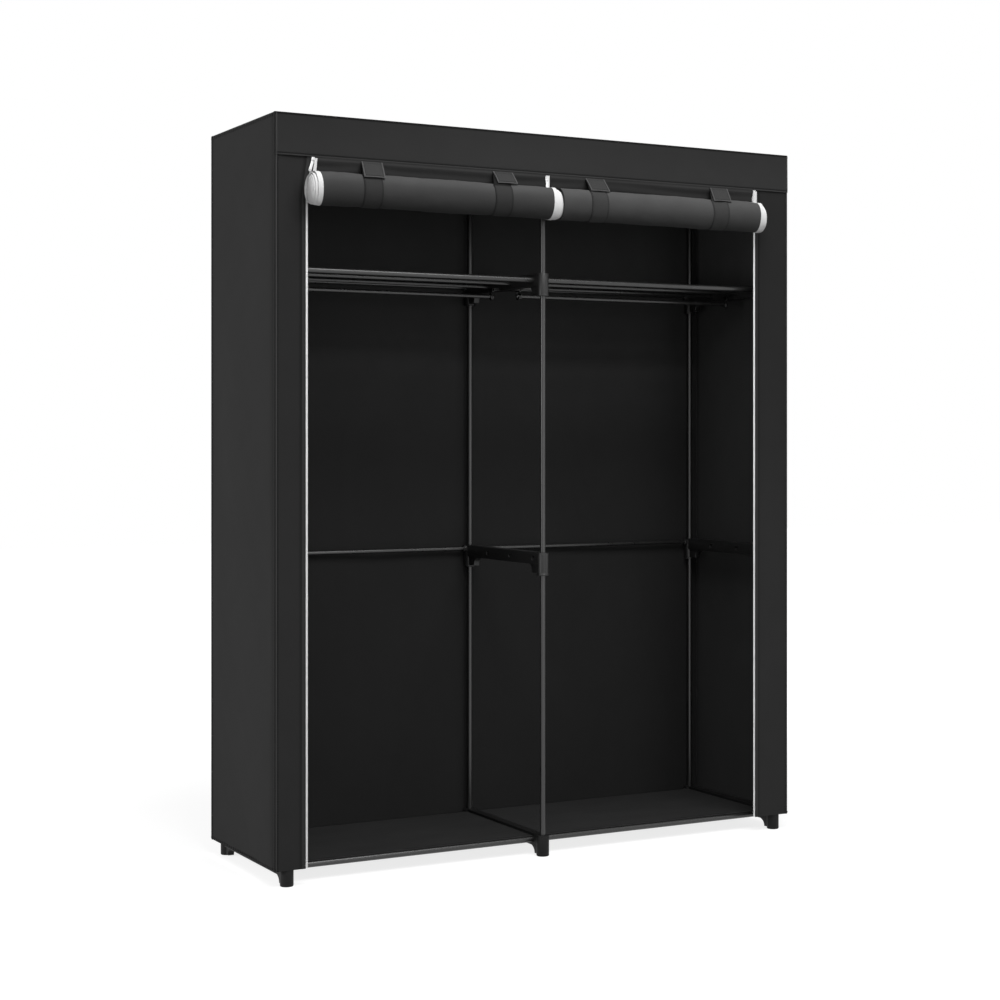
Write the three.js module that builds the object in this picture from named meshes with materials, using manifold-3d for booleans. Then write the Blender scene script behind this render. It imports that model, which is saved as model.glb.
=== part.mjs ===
// Portable fabric wardrobe with two rolled-up doors.
// Steel tubes and posts plug into moulded plastic brackets, and a sewn cloth cover goes over the frame.
// Millimetres, +Z up, +X to the right as seen from the open front, -Y towards the viewer.
import * as THREE from 'three';
import { mergeVertices } from 'three/addons/utils/BufferGeometryUtils.js';
import Module from 'manifold-3d';

const wasm = await Module();
wasm.setup();

// Clearance between pieces that touch, and the overrun of every cutting tool
const FIT = 0.3;
const OVERRUN = 2;

// Cloth cover: outer box, height of the hem above the floor, cloth thickness
const COVER = { width: 1400, depth: 430, height: 1740, hem: 38, cloth: 1.4 };

// Front of the cover: flap above the doors, and the cloth strips on both sides of the door opening
const FRONT = { flapDrop: 93, flapStandOff: 0.4, leftStrip: 72.6, rightStrip: 100.6 };

// Left edge of the opening leans inwards below the flap, where the rolled door pulls at it
const LEAN = { inwards: 15, height: 92 };

// Columns of posts: distance from the cover's sides and faces, and how far left the middle one stands
const COLUMN = { sideInset: 34, faceInset: 16.6, middleLeft: 10.5 };

// Steel tubes
const POST = { radius: 6.5, wall: 1, sides: 12 };
const WIDE_TUBE = { radius: 7, wall: 1, sides: 12 };
const SLIM_TUBE = { radius: 5, wall: 0.8, sides: 10 };

// Tube sockets: height above the floor at the lower levels, and the shelf's distance below the top
const LEVEL = { base: 36, middle: 718, shelfBelowTop: 330.3 };

// Moulded bracket: sleeves round the posts, bar between them, tube sockets in the bar
const SLEEVE = { radius: 14, lip: 0.8, lipHeight: 4, above: 14, below: 41, sides: 14 };
const BAR = { height: 30, thickness: 22, round: 1.6 };
const GUSSET = { foot: 28, reach: 60, thickness: 16, steps: 8 };
const SOCKET = { first: 31, pitch: 121.9, depth: 9, backBoss: 8.5, backReach: 20, backWall: 1.8,
  backRise: 6 };
const FOOT = { radius: 14.8, rim: 31, taper: 3, floor: 4, bevel: 2.5, sides: 18 };
const CAP = { thickness: 2 };

// Hook under each shelf bracket that carries a hanging rod
const HOOK = { reach: 30, plate: 5, drop: 29, wall: 5, arm: 7, sides: 12 };
const ROD = { radius: 5, leftBehind: 20, rightAhead: 20, endGap: 20, noseLength: 4, collarRadius: 9.5 };
const COLLAR = { thickness: 2, sides: 12 };

// Floor cloth of each bay: a hem behind the front tube and a sleeve round the back one
const FLOOR = { hem: 22, backInset: 21, cloth: 1.4, sides: 12, slack: 2.4 };

// Rolled doors: cloth wound into a slightly flattened roll that hangs before the opening
const DOOR = { cloth: 1, halfDepth: 29, halfHeight: 39, below: 76, standOff: 35, turns: 11.5 };
const WINDING = { coreShare: 0.3, stepsPerTurn: 12, tailStandOff: 3.4, tailBend: 6 };

// Ends of the rolls: inset of the outer turn, and how far the inner turns slip out of it
const LEFT_DOOR = { sideInset: 9.4, sideReach: 25, tailInset: 17, middleInset: 1.5, middleReach: 14 };
const RIGHT_DOOR = { sideInset: 14.4, sideReach: 20, tailInset: 12, middleInset: 15.8, middleRecess: 10 };

// Straps: hook tabs sewn under the flap, and the bands round the rolls that they close on
const STRAP = { width: 58, thickness: 1.6, length: 64, hinge: 6, lean: 51, skew: 8 };
const BAND = { width: 56, thickness: 1.1, startTurn: 0.1, endTurn: 0.86, steps: 16 };
const STRAP_INSET = { outerLeft: 161.4, innerLeft: 111.5, innerRight: 132.5, outerRight: 120.4 };

// Zips along both sides of the opening
const CHAIN = { width: 6, thickness: 2.4, foot: 2 };
const SLIDER = { width: 11, height: 15, plate: 1.4, gap: 3, neck: 2.5, shoulder: 2.6, tail: 2.2, topGap: 1, steps: 6 };
const BAIL = { width: 1.6, wall: 1, rise: 3.4, slot: 2.6 };
const PULL = { width: 6.4, length: 30, thickness: 1.4, pin: 0.8, window: 6, windowWidth: 2.6, hole: 1.5,
  sides: 10 };
const MIDDLE_SLIDER = { topGap: 8 };

// Paint and cloth colours
const LOOK = {
  cloth: { color: 0x343434, roughness: 0.85, metalness: 0 },
  lining: { color: 0x2b2b2b, roughness: 0.9, metalness: 0 },
  door: { color: 0x3c3c3c, roughness: 0.8, metalness: 0 },
  strap: { color: 0x404040, roughness: 0.9, metalness: 0 },
  steel: { color: 0x1c1c1d, roughness: 0.3, metalness: 0.2 },
  plastic: { color: 0x202021, roughness: 0.5, metalness: 0 },
  zip: { color: 0xf2f2f0, roughness: 0.6, metalness: 0 },
};

const wardrobe = new THREE.Group();
const assembly = new THREE.Group();
wardrobe.add(assembly);

// Shared places that follow from the sizes above
const halfWidth = COVER.width / 2;
const frontFace = -COVER.depth / 2;
const backFace = COVER.depth / 2;
const frontPostY = frontFace + COLUMN.faceInset;
const backPostY = backFace - COLUMN.faceInset;
const columns = {
  left: -halfWidth + COLUMN.sideInset,
  middle: -COLUMN.middleLeft,
  right: halfWidth - COLUMN.sideInset,
};
const roofUnderside = COVER.height - COVER.cloth;
const topLevel = roofUnderside - FIT - BAR.height / 2;
const shelfLevel = topLevel - LEVEL.shelfBelowTop;
const flapBottom = COVER.height - FRONT.flapDrop;
const socketDepths = [0, 1, 2].map((step) => frontPostY + SOCKET.first + step * SOCKET.pitch);
const openingLeft = -halfWidth + FRONT.leftStrip;
const openingRight = halfWidth - FRONT.rightStrip;
const leanFoot = flapBottom - LEAN.height;
const stripMiddleY = frontFace + COVER.cloth / 2;
const rollY = frontFace - DOOR.standOff;
const rollZ = flapBottom - DOOR.below;
const flapMiddleY = frontFace - FRONT.flapStandOff - COVER.cloth / 2;
const tailMiddleY = frontFace - WINDING.tailStandOff - DOOR.cloth / 2;
const leftDoorEnd = columns.middle + LEFT_DOOR.middleInset;
const strapPlaces = {
  outerLeft: openingLeft + STRAP_INSET.outerLeft,
  innerLeft: columns.middle - STRAP_INSET.innerLeft,
  innerRight: columns.middle + STRAP_INSET.innerRight,
  outerRight: openingRight - STRAP_INSET.outerRight,
};

// Adds one named piece to the assembly
function addPiece(name, geometry, look, parent = assembly) {
  const mesh = new THREE.Mesh(geometry, new THREE.MeshStandardMaterial(look));
  mesh.name = name;
  parent.add(mesh);
  return mesh;
}

// Closed geometry to a solid that can be joined and cut
function toSolid(geometry) {
  const bare = geometry.clone();
  bare.deleteAttribute('normal');
  bare.deleteAttribute('uv');
  const merged = mergeVertices(bare);
  const vertProperties = new Float32Array(merged.attributes.position.array);
  const triVerts = new Uint32Array(merged.index.array);
  return new wasm.Manifold(new wasm.Mesh({ numProp: 3, vertProperties, triVerts }));
}

// Solid back to a geometry
function toGeometry(solid) {
  const mesh = solid.getMesh();
  const positions = [];
  for (let vertex = 0; vertex < mesh.numVert; vertex += 1) {
    const start = vertex * mesh.numProp;
    positions.push(...mesh.vertProperties.subarray(start, start + mesh.numProp));
  }
  const geometry = new THREE.BufferGeometry();
  geometry.setAttribute('position', new THREE.Float32BufferAttribute(positions, 3));
  geometry.setIndex(Array.from(mesh.triVerts));
  geometry.computeVertexNormals();
  return geometry;
}

// Box between two corners
function boxBetween(low, high) {
  const box = new THREE.BoxGeometry(high[0] - low[0], high[1] - low[1], high[2] - low[2]);
  return box.translate((low[0] + high[0]) / 2, (low[1] + high[1]) / 2, (low[2] + high[2]) / 2);
}

// Cylinder along X between two ends
function cylinderX(radius, sides, from, to, y, z) {
  const cylinder = new THREE.CylinderGeometry(radius, radius, to - from, sides);
  return cylinder.rotateZ(Math.PI / 2).translate((from + to) / 2, y, z);
}

// Cylinder along Z between two heights
function cylinderZ(radius, sides, x, y, from, to) {
  const cylinder = new THREE.CylinderGeometry(radius, radius, to - from, sides);
  return cylinder.rotateX(Math.PI / 2).translate(x, y, (from + to) / 2);
}

// Extrusion of an outline, whose full circles get the given number of sides
function extrude(shape, depth, sides, bevel = {}) {
  const curveSegments = sides / 2;
  return new THREE.ExtrudeGeometry(shape, { depth, curveSegments, bevelEnabled: false, ...bevel });
}

// Outline in the depth and height plane, given thickness along X about a middle place
function extrudeAlongX(shape, thickness, middle, sides, bevel = {}) {
  const body = extrude(shape, thickness, sides, bevel);
  body.translate(0, 0, -thickness / 2);
  return body.rotateX(Math.PI / 2).rotateZ(Math.PI / 2).translate(middle, 0, 0);
}

// Outline in the width and height plane, given thickness along Y from its front face
function extrudeAlongY(shape, thickness, front, sides) {
  const body = extrude(shape, thickness, sides);
  return body.rotateX(Math.PI / 2).translate(0, front + thickness, 0);
}

// Solid turned about a vertical axis, from a profile of radius and height pairs
function turned(profile, sides, x, y, z) {
  const points = profile.map(([radius, height]) => new THREE.Vector2(radius, height));
  return new THREE.LatheGeometry(points, sides).rotateX(Math.PI / 2).translate(x, y, z);
}

// Open steel tube along X or Z
function steelTube(size, from, to, first, second, alongX) {
  const ring = new THREE.Shape().absarc(0, 0, size.radius, 0, 2 * Math.PI, false);
  ring.holes.push(new THREE.Path().absarc(0, 0, size.radius - size.wall, 0, 2 * Math.PI, true));
  const tube = extrude(ring, to - from, size.sides);
  if (alongX) {
    return tube.rotateY(Math.PI / 2).translate(from, first, second);
  }
  return tube.translate(first, second, from);
}

// Web of a bracket, seen from the side: below the bar it curves down behind each sleeve
function gussetShape(low) {
  const under = -BAR.height / 2;
  const shape = new THREE.Shape();
  shape.moveTo(frontPostY, 0);
  shape.lineTo(frontPostY, low);
  shape.lineTo(frontPostY + GUSSET.foot, low);
  shape.quadraticCurveTo(frontPostY + GUSSET.foot, under, frontPostY + GUSSET.reach, under);
  shape.lineTo(backPostY - GUSSET.reach, under);
  shape.quadraticCurveTo(backPostY - GUSSET.foot, under, backPostY - GUSSET.foot, low);
  shape.lineTo(backPostY, low);
  shape.lineTo(backPostY, 0);
  return shape;
}

function barShape() {
  const half = BAR.height / 2 - BAR.round;
  const shape = new THREE.Shape();
  shape.moveTo(frontPostY, -half);
  shape.lineTo(backPostY, -half);
  shape.lineTo(backPostY, half);
  shape.lineTo(frontPostY, half);
  shape.closePath();
  return shape;
}

// Sleeve with a thicker lip at its lower end
function sleeveProfile() {
  const lipRadius = SLEEVE.radius + SLEEVE.lip;
  const bottom = -SLEEVE.below;
  return [
    [0, bottom],
    [lipRadius, bottom],
    [lipRadius, bottom + SLEEVE.lipHeight],
    [SLEEVE.radius, bottom + SLEEVE.lipHeight + SLEEVE.lip],
    [SLEEVE.radius, SLEEVE.above],
    [0, SLEEVE.above],
  ];
}

// Base sleeve, a little wider below the cover's hem where it is the foot
function footProfile() {
  const bottom = -LEVEL.base;
  return [
    [0, bottom],
    [FOOT.radius - FOOT.bevel, bottom],
    [FOOT.radius, bottom + FOOT.bevel],
    [FOOT.radius, bottom + FOOT.rim],
    [SLEEVE.radius, bottom + FOOT.rim + FOOT.taper],
    [SLEEVE.radius, SLEEVE.above],
    [0, SLEEVE.above],
  ];
}

// Hook plate below the bar, open towards the front, on an arm that reaches out over the rod's end
function rodHook(columnX, side, depth) {
  const bore = ROD.radius + FIT;
  const outer = bore + HOOK.wall;
  const top = -BAR.height / 2 + HOOK.arm;
  const plate = new THREE.Shape();
  plate.moveTo(depth + outer, top);
  plate.lineTo(depth + outer, -HOOK.drop);
  plate.absarc(depth, -HOOK.drop, outer, 0, -Math.PI, true);
  plate.lineTo(depth - bore, -HOOK.drop);
  plate.absarc(depth, -HOOK.drop, bore, -Math.PI, 0, false);
  plate.lineTo(depth + bore, -HOOK.drop + bore + HOOK.wall);
  plate.lineTo(depth - outer, -HOOK.drop + bore + HOOK.wall);
  plate.lineTo(depth - outer, top);
  plate.closePath();
  const middle = columnX + side * (HOOK.reach - HOOK.plate / 2);
  const upright = extrudeAlongX(plate, HOOK.plate, middle, HOOK.sides / 2);
  const reach = columnX + side * HOOK.reach;
  const low = [Math.min(columnX, reach), depth - outer, -BAR.height / 2];
  const high = [Math.max(columnX, reach), depth + outer, top];
  return toSolid(upright).add(toSolid(boxBetween(low, high)));
}

// One moulded bracket: two sleeves, the bar between them, its sockets and its hooks or feet
function bracket(columnX, height, sides, kind, hooks = []) {
  const profile = kind === 'base' ? footProfile() : sleeveProfile();
  const around = kind === 'base' ? FOOT.sides : SLEEVE.sides;
  const low = kind === 'base' ? FOOT.bevel - LEVEL.base : SLEEVE.lipHeight + SLEEVE.lip - SLEEVE.below;
  let body = toSolid(extrudeAlongX(barShape(), BAR.thickness - 2 * BAR.round, columnX, 2, {
    bevelEnabled: true,
    bevelSegments: 1,
    bevelSize: BAR.round,
    bevelThickness: BAR.round,
  }));
  body = body.add(toSolid(extrudeAlongX(gussetShape(low), GUSSET.thickness, columnX, GUSSET.steps)));
  for (const postY of [frontPostY, backPostY]) {
    body = body.add(toSolid(turned(profile, around, columnX, postY, 0)));
  }
  for (const side of sides) {
    const reach = columnX + side * SOCKET.backReach;
    body = body.add(toSolid(cylinderX(SOCKET.backBoss, SLIM_TUBE.sides, Math.min(columnX, reach),
      Math.max(columnX, reach), backPostY, backRise(kind))));
  }
  for (const hook of hooks) {
    body = body.add(rodHook(columnX, hook.side, hook.depth));
  }
  return toGeometry(cutBores(body, columnX, sides, kind).translate(0, 0, height));
}

// Height of a bracket's back socket over its bar's middle
function backRise(kind) {
  return kind === 'base' ? 0 : SOCKET.backRise;
}

// Cuts the post bores and the blind tube sockets of a bracket
function cutBores(solid, columnX, sides, kind) {
  let body = solid;
  const bore = POST.radius + FIT;
  const from = kind === 'base' ? -LEVEL.base + FOOT.floor : -SLEEVE.below - OVERRUN;
  const to = kind === 'top' ? SLEEVE.above - CAP.thickness : SLEEVE.above + OVERRUN;
  for (const postY of [frontPostY, backPostY]) {
    body = body.subtract(toSolid(cylinderZ(bore, POST.sides, columnX, postY, from, to)));
  }
  for (const side of sides) {
    const face = columnX + side * (BAR.thickness / 2 + OVERRUN);
    const end = columnX + side * (BAR.thickness / 2 - SOCKET.depth);
    socketDepths.forEach((depth, index) => {
      const tube = index === 0 && kind !== 'middle' ? WIDE_TUBE : SLIM_TUBE;
      const cut = cylinderX(tube.radius + FIT, tube.sides, Math.min(face, end), Math.max(face, end),
        depth, 0);
      body = body.subtract(toSolid(cut));
    });
    const mouth = columnX + side * (SOCKET.backReach + OVERRUN);
    const wall = columnX + side * (bore + SOCKET.backWall);
    const cut = cylinderX(SLIM_TUBE.radius + FIT, SLIM_TUBE.sides, Math.min(mouth, wall),
      Math.max(mouth, wall), backPostY, backRise(kind));
    body = body.subtract(toSolid(cut));
  }
  return body;
}

// Twelve brackets: three columns on four levels, with sockets facing the bays
function addBrackets() {
  const facing = { left: [1], middle: [-1, 1], right: [-1] };
  const rodHooks = {
    left: [{ side: 1, depth: ROD.leftBehind }],
    middle: [{ side: -1, depth: ROD.leftBehind }, { side: 1, depth: -ROD.rightAhead }],
    right: [{ side: -1, depth: -ROD.rightAhead }],
  };
  const levels = { base: LEVEL.base, middle: LEVEL.middle, shelf: shelfLevel, top: topLevel };
  for (const [level, height] of Object.entries(levels)) {
    for (const [column, x] of Object.entries(columns)) {
      const hooks = level === 'shelf' ? rodHooks[column] : [];
      addPiece(`${level}_bracket_${column}`, bracket(x, height, facing[column], level, hooks),
        LOOK.plastic);
    }
  }
}

// Six posts that run through the bracket sleeves
function addPosts() {
  const from = FOOT.floor + FIT;
  const to = topLevel + SLEEVE.above - CAP.thickness - FIT;
  for (const [column, x] of Object.entries(columns)) {
    addPiece(`post_front_${column}`, steelTube(POST, from, to, x, frontPostY, false), LOOK.steel);
    addPiece(`post_back_${column}`, steelTube(POST, from, to, x, backPostY, false), LOOK.steel);
  }
}

// Tubes across one bay at one level, each pushed to the end of its sockets
function addRails(bay, leftX, rightX) {
  const barEnd = BAR.thickness / 2 - SOCKET.depth + FIT;
  const backEnd = POST.radius + FIT + SOCKET.backWall + FIT;
  const rail = (name, index, kind, level) => {
    const atBack = index === socketDepths.length;
    const size = index === 0 ? WIDE_TUBE : SLIM_TUBE;
    const end = atBack ? backEnd : barEnd;
    const depth = atBack ? backPostY : socketDepths[index];
    const height = atBack ? level + backRise(kind) : level;
    addPiece(name, steelTube(size, leftX + end, rightX - end, depth, height, true), LOOK.steel);
  };
  const back = socketDepths.length;
  rail(`base_rail_front_${bay}`, 0, 'base', LEVEL.base);
  rail(`base_rail_back_${bay}`, back, 'base', LEVEL.base);
  rail(`middle_rail_back_${bay}`, back, 'middle', LEVEL.middle);
  for (let index = 0; index <= back; index += 1) {
    rail(`shelf_tube_${bay}_${index + 1}`, index, 'shelf', shelfLevel);
  }
  rail(`top_rail_front_${bay}`, 0, 'top', topLevel);
  rail(`top_rail_back_${bay}`, back, 'top', topLevel);
}

// Hanging rod with a collar and a rounded nose at each end, lying in its two hooks
function addRod(bay, leftX, rightX, depth) {
  const height = shelfLevel - HOOK.drop;
  const length = rightX - leftX - 2 * ROD.endGap;
  const collarFrom = HOOK.reach - ROD.endGap + FIT;
  const collarTo = collarFrom + COLLAR.thickness;
  const profile = [
    [0, 0],
    [ROD.radius * Math.SQRT1_2, ROD.noseLength * (1 - Math.SQRT1_2)],
    [ROD.radius, ROD.noseLength],
    [ROD.radius, collarFrom],
    [ROD.collarRadius, collarFrom],
    [ROD.collarRadius, collarTo],
    [ROD.radius, collarTo],
  ];
  const mirrored = profile.map(([radius, along]) => [radius, length - along]).reverse();
  const rod = turned([...profile, ...mirrored], COLLAR.sides, 0, 0, 0);
  const mesh = addPiece(`hanging_rod_${bay}`, rod.rotateY(Math.PI / 2), LOOK.steel);
  mesh.position.set(leftX + ROD.endGap, depth, height);
}

// Flat cloth panel between two corners
function panel(name, low, high, look) {
  addPiece(name, boxBetween(low, high), look);
}

// Roof, back, sides, front flap and the cloth frame round the door opening
function addCover() {
  const flapFront = frontFace - FRONT.flapStandOff - COVER.cloth;
  const wallTop = roofUnderside - FIT;
  const inner = COVER.cloth + FIT;
  panel('cover_roof', [-halfWidth, flapFront, roofUnderside], [halfWidth, backFace, COVER.height],
    LOOK.cloth);
  panel('cover_back', [-halfWidth, backFace - COVER.cloth, COVER.hem], [halfWidth, backFace, wallTop],
    LOOK.lining);
  panel('cover_side_left', [-halfWidth, frontFace + inner, COVER.hem],
    [-halfWidth + COVER.cloth, backFace - inner, wallTop], LOOK.cloth);
  panel('cover_side_right', [halfWidth - COVER.cloth, frontFace + inner, COVER.hem],
    [halfWidth, backFace - inner, wallTop], LOOK.cloth);
  panel('cover_front_flap', [-halfWidth, flapFront, flapBottom],
    [halfWidth, flapFront + COVER.cloth, wallTop], LOOK.cloth);
  const frame = new THREE.Shape();
  const bandBottom = flapBottom + FIT;
  frame.moveTo(-halfWidth, COVER.hem);
  frame.lineTo(openingLeft, COVER.hem);
  frame.lineTo(openingLeft, leanFoot);
  frame.lineTo(openingLeft + LEAN.inwards, bandBottom);
  frame.lineTo(openingRight, bandBottom);
  frame.lineTo(openingRight, COVER.hem);
  frame.lineTo(halfWidth, COVER.hem);
  frame.lineTo(halfWidth, wallTop);
  frame.lineTo(-halfWidth, wallTop);
  frame.closePath();
  addPiece('cover_front_frame', extrudeAlongY(frame, COVER.cloth, frontFace, 2), LOOK.cloth);
}

// Floor cloth between two brackets: it lies on the front tube and goes round the back tube
function addFloor(bay, leftX, rightX) {
  const beside = BAR.thickness / 2 + FIT;
  const top = LEVEL.base + WIDE_TUBE.radius + FIT + FLOOR.cloth;
  const under = top - FLOOR.cloth;
  const front = socketDepths[0];
  const hem = front + WIDE_TUBE.radius + FIT;
  const plateTo = backPostY - SOCKET.backBoss - FIT;
  let body = toSolid(boxBetween([leftX + beside, front, under], [rightX - beside, plateTo, top]));
  body = body.add(toSolid(boxBetween([leftX + beside, hem, under - FLOOR.hem],
    [rightX - beside, hem + FLOOR.cloth, top])));
  body = body.add(toSolid(boxBetween([leftX + FLOOR.backInset, plateTo - OVERRUN, under],
    [rightX - FLOOR.backInset, backPostY, top])));
  const length = rightX - leftX - 2 * FLOOR.backInset;
  const middle = (leftX + rightX) / 2;
  const bore = SLIM_TUBE.radius + FIT;
  const half = bore + FLOOR.cloth;
  const turn = LEVEL.base - FLOOR.slack;
  const loop = new THREE.Shape();
  loop.moveTo(backPostY + half, top);
  loop.lineTo(backPostY - half, top);
  loop.lineTo(backPostY - half, turn);
  loop.absarc(backPostY, turn, half, Math.PI, 2 * Math.PI, false);
  loop.closePath();
  body = body.add(toSolid(extrudeAlongX(loop, length, middle, FLOOR.sides / 2)));
  const hollow = new THREE.Shape();
  hollow.moveTo(backPostY + bore, under);
  hollow.lineTo(backPostY - bore, under);
  hollow.lineTo(backPostY - bore, turn);
  hollow.absarc(backPostY, turn, bore, Math.PI, 2 * Math.PI, false);
  hollow.closePath();
  const cut = extrudeAlongX(hollow, length + 2 * OVERRUN, middle, FLOOR.sides / 2);
  addPiece(`floor_cloth_${bay}`, toGeometry(body.subtract(toSolid(cut))), LOOK.lining);
}

// Centre line of a wound door: turn 0 is the tail's end at the back of the roll, then it winds inwards
function windingPoint(turn) {
  const share = 1 - (1 - WINDING.coreShare) * (turn / DOOR.turns);
  const angle = -2 * Math.PI * turn;
  const y = rollY + (DOOR.halfDepth - DOOR.cloth / 2) * share * Math.cos(angle);
  const z = rollZ + (DOOR.halfHeight - DOOR.cloth / 2) * share * Math.sin(angle);
  return { y, z, share };
}

// Cloth strip along a line of points, with its two side edges given at every point
function ribbon(points, thickness) {
  const positions = [];
  const index = [];
  points.forEach((point, place) => {
    const before = points[Math.max(place - 1, 0)];
    const after = points[Math.min(place + 1, points.length - 1)];
    const length = Math.hypot(after.y - before.y, after.z - before.z);
    const sideY = (-(after.z - before.z) / length) * (thickness / 2);
    const sideZ = ((after.y - before.y) / length) * (thickness / 2);
    positions.push(point.left, point.y + sideY, point.z + sideZ);
    positions.push(point.right, point.y + sideY, point.z + sideZ);
    positions.push(point.right, point.y - sideY, point.z - sideZ);
    positions.push(point.left, point.y - sideY, point.z - sideZ);
  });
  for (let place = 0; place + 1 < points.length; place += 1) {
    for (let corner = 0; corner < 4; corner += 1) {
      const a = place * 4 + corner;
      const b = place * 4 + ((corner + 1) % 4);
      index.push(a, b, a + 4, b, b + 4, a + 4);
    }
  }
  const last = (points.length - 1) * 4;
  index.push(0, 2, 1, 0, 3, 2);
  index.push(last, last + 1, last + 2, last, last + 2, last + 3);
  const geometry = new THREE.BufferGeometry();
  geometry.setAttribute('position', new THREE.Float32BufferAttribute(positions, 3));
  geometry.setIndex(index);
  geometry.computeVertexNormals();
  return geometry;
}

// Line of a rolled door: the tail sewn under the flap, then the winding whose ends telescope out
function doorLine(left, right) {
  const start = windingPoint(0);
  const tail = { left: left.edge + left.tailInset, right: right.edge - right.tailInset };
  const points = [
    { y: flapMiddleY, z: flapBottom - FIT, ...tail },
    { y: tailMiddleY, z: flapBottom - WINDING.tailBend, ...tail },
    { y: start.y, z: start.z + DOOR.halfHeight / 2, ...tail },
  ];
  const steps = Math.round(DOOR.turns * WINDING.stepsPerTurn);
  for (let step = 0; step <= steps; step += 1) {
    const point = windingPoint(step / WINDING.stepsPerTurn);
    const slip = Math.sqrt(1 - point.share ** 2);
    points.push({
      y: point.y,
      z: point.z,
      left: left.edge - left.reach * slip,
      right: right.edge + right.reach * slip,
    });
  }
  return points;
}

// Least distance between two neighbouring layers of the winding, measured on points
function leastLayerGap() {
  let least = Infinity;
  const steps = Math.round((DOOR.turns - 1) * WINDING.stepsPerTurn);
  for (let step = 0; step <= steps; step += 1) {
    const here = windingPoint(step / WINDING.stepsPerTurn);
    for (let near = -1; near <= 1; near += 1) {
      const turn = 1 + (step + near) / WINDING.stepsPerTurn;
      const inner = windingPoint(Math.min(turn, DOOR.turns));
      least = Math.min(least, Math.hypot(inner.y - here.y, inner.z - here.z));
    }
  }
  return least - DOOR.cloth;
}

// Band round a roll, just outside the cloth, from behind the roll under it and up over the front
function bandAround(middle) {
  const points = [];
  const lift = DOOR.cloth / 2 + BAND.thickness / 2 - BAND.thickness / 4;
  for (let step = 0; step <= BAND.steps; step += 1) {
    const turn = BAND.startTurn + (BAND.endTurn - BAND.startTurn) * (step / BAND.steps);
    const angle = -2 * Math.PI * turn;
    const base = windingPoint(turn);
    points.push({
      y: base.y + lift * Math.cos(angle),
      z: base.z + lift * Math.sin(angle),
      left: middle - BAND.width / 2,
      right: middle + BAND.width / 2,
    });
  }
  return ribbon(points, BAND.thickness);
}

// One rolled door with its two bands
function addDoor(name, left, right, bands) {
  let body = toSolid(ribbon(doorLine(left, right), DOOR.cloth));
  for (const middle of bands) {
    body = body.add(toSolid(bandAround(middle)));
  }
  addPiece(name, toGeometry(body), LOOK.door);
}

function addDoors() {
  const { tailInset: leftTail } = LEFT_DOOR;
  const { tailInset: rightTail } = RIGHT_DOOR;
  addDoor('rolled_door_left',
    { edge: openingLeft + LEFT_DOOR.sideInset, reach: LEFT_DOOR.sideReach, tailInset: leftTail },
    { edge: leftDoorEnd, reach: LEFT_DOOR.middleReach, tailInset: 0 },
    [strapPlaces.outerLeft, strapPlaces.innerLeft]);
  addDoor('rolled_door_right',
    { edge: columns.middle + RIGHT_DOOR.middleInset, reach: -RIGHT_DOOR.middleRecess, tailInset: 0 },
    { edge: openingRight - RIGHT_DOOR.sideInset, reach: RIGHT_DOOR.sideReach, tailInset: rightTail },
    [strapPlaces.innerRight, strapPlaces.outerRight]);
}

// Strap tab that hinges at its sewn edge and leans forward on to the roll
function addStrapTab(name, middle) {
  const half = STRAP.width / 2;
  const outline = new THREE.Shape();
  outline.moveTo(-half, 0);
  outline.lineTo(half, 0);
  outline.lineTo(half - STRAP.skew, -STRAP.length);
  outline.lineTo(-half - STRAP.skew, -STRAP.length);
  outline.closePath();
  const lean = THREE.MathUtils.degToRad(STRAP.lean);
  const tab = extrudeAlongY(outline, STRAP.thickness, -STRAP.thickness / 2, 2);
  const mesh = addPiece(name, tab, LOOK.strap);
  const tailFront = tailMiddleY - DOOR.cloth / 2;
  mesh.position.set(middle + STRAP.skew / 2,
    tailFront - FIT - (STRAP.thickness / 2) * Math.cos(lean), flapBottom - STRAP.hinge);
  mesh.rotation.x = -lean;
}

// Half of each outer zip, fixed along the edge of the opening, with its top leaning inwards
function addChain(name, edge, side, inwards) {
  const near = edge + side * FIT;
  const far = near + side * CHAIN.width;
  const [low, high] = [Math.min(near, far), Math.max(near, far)];
  const foot = COVER.hem + CHAIN.foot;
  const shape = new THREE.Shape();
  shape.moveTo(low, foot);
  shape.lineTo(high, foot);
  shape.lineTo(high, leanFoot);
  shape.lineTo(high + inwards, flapBottom);
  shape.lineTo(low + inwards, flapBottom);
  shape.lineTo(low, leanFoot);
  shape.closePath();
  const front = stripMiddleY - CHAIN.thickness / 2;
  addPiece(name, extrudeAlongY(shape, CHAIN.thickness, front, 2), LOOK.zip);
  return (low + high) / 2;
}

// Front or back plate of a slider: wide shoulders at the top, narrow tail
function sliderPlateShape() {
  const half = SLIDER.width / 2;
  const tail = half - SLIDER.tail;
  const shape = new THREE.Shape();
  shape.moveTo(-tail, -SLIDER.height / 2);
  shape.lineTo(tail, -SLIDER.height / 2);
  shape.quadraticCurveTo(half, 0, half, SLIDER.height / 2 - SLIDER.shoulder);
  shape.quadraticCurveTo(half, SLIDER.height / 2, half - SLIDER.shoulder, SLIDER.height / 2);
  shape.lineTo(-half + SLIDER.shoulder, SLIDER.height / 2);
  shape.quadraticCurveTo(-half, SLIDER.height / 2, -half, SLIDER.height / 2 - SLIDER.shoulder);
  shape.quadraticCurveTo(-half, 0, -tail, -SLIDER.height / 2);
  return shape;
}

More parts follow.
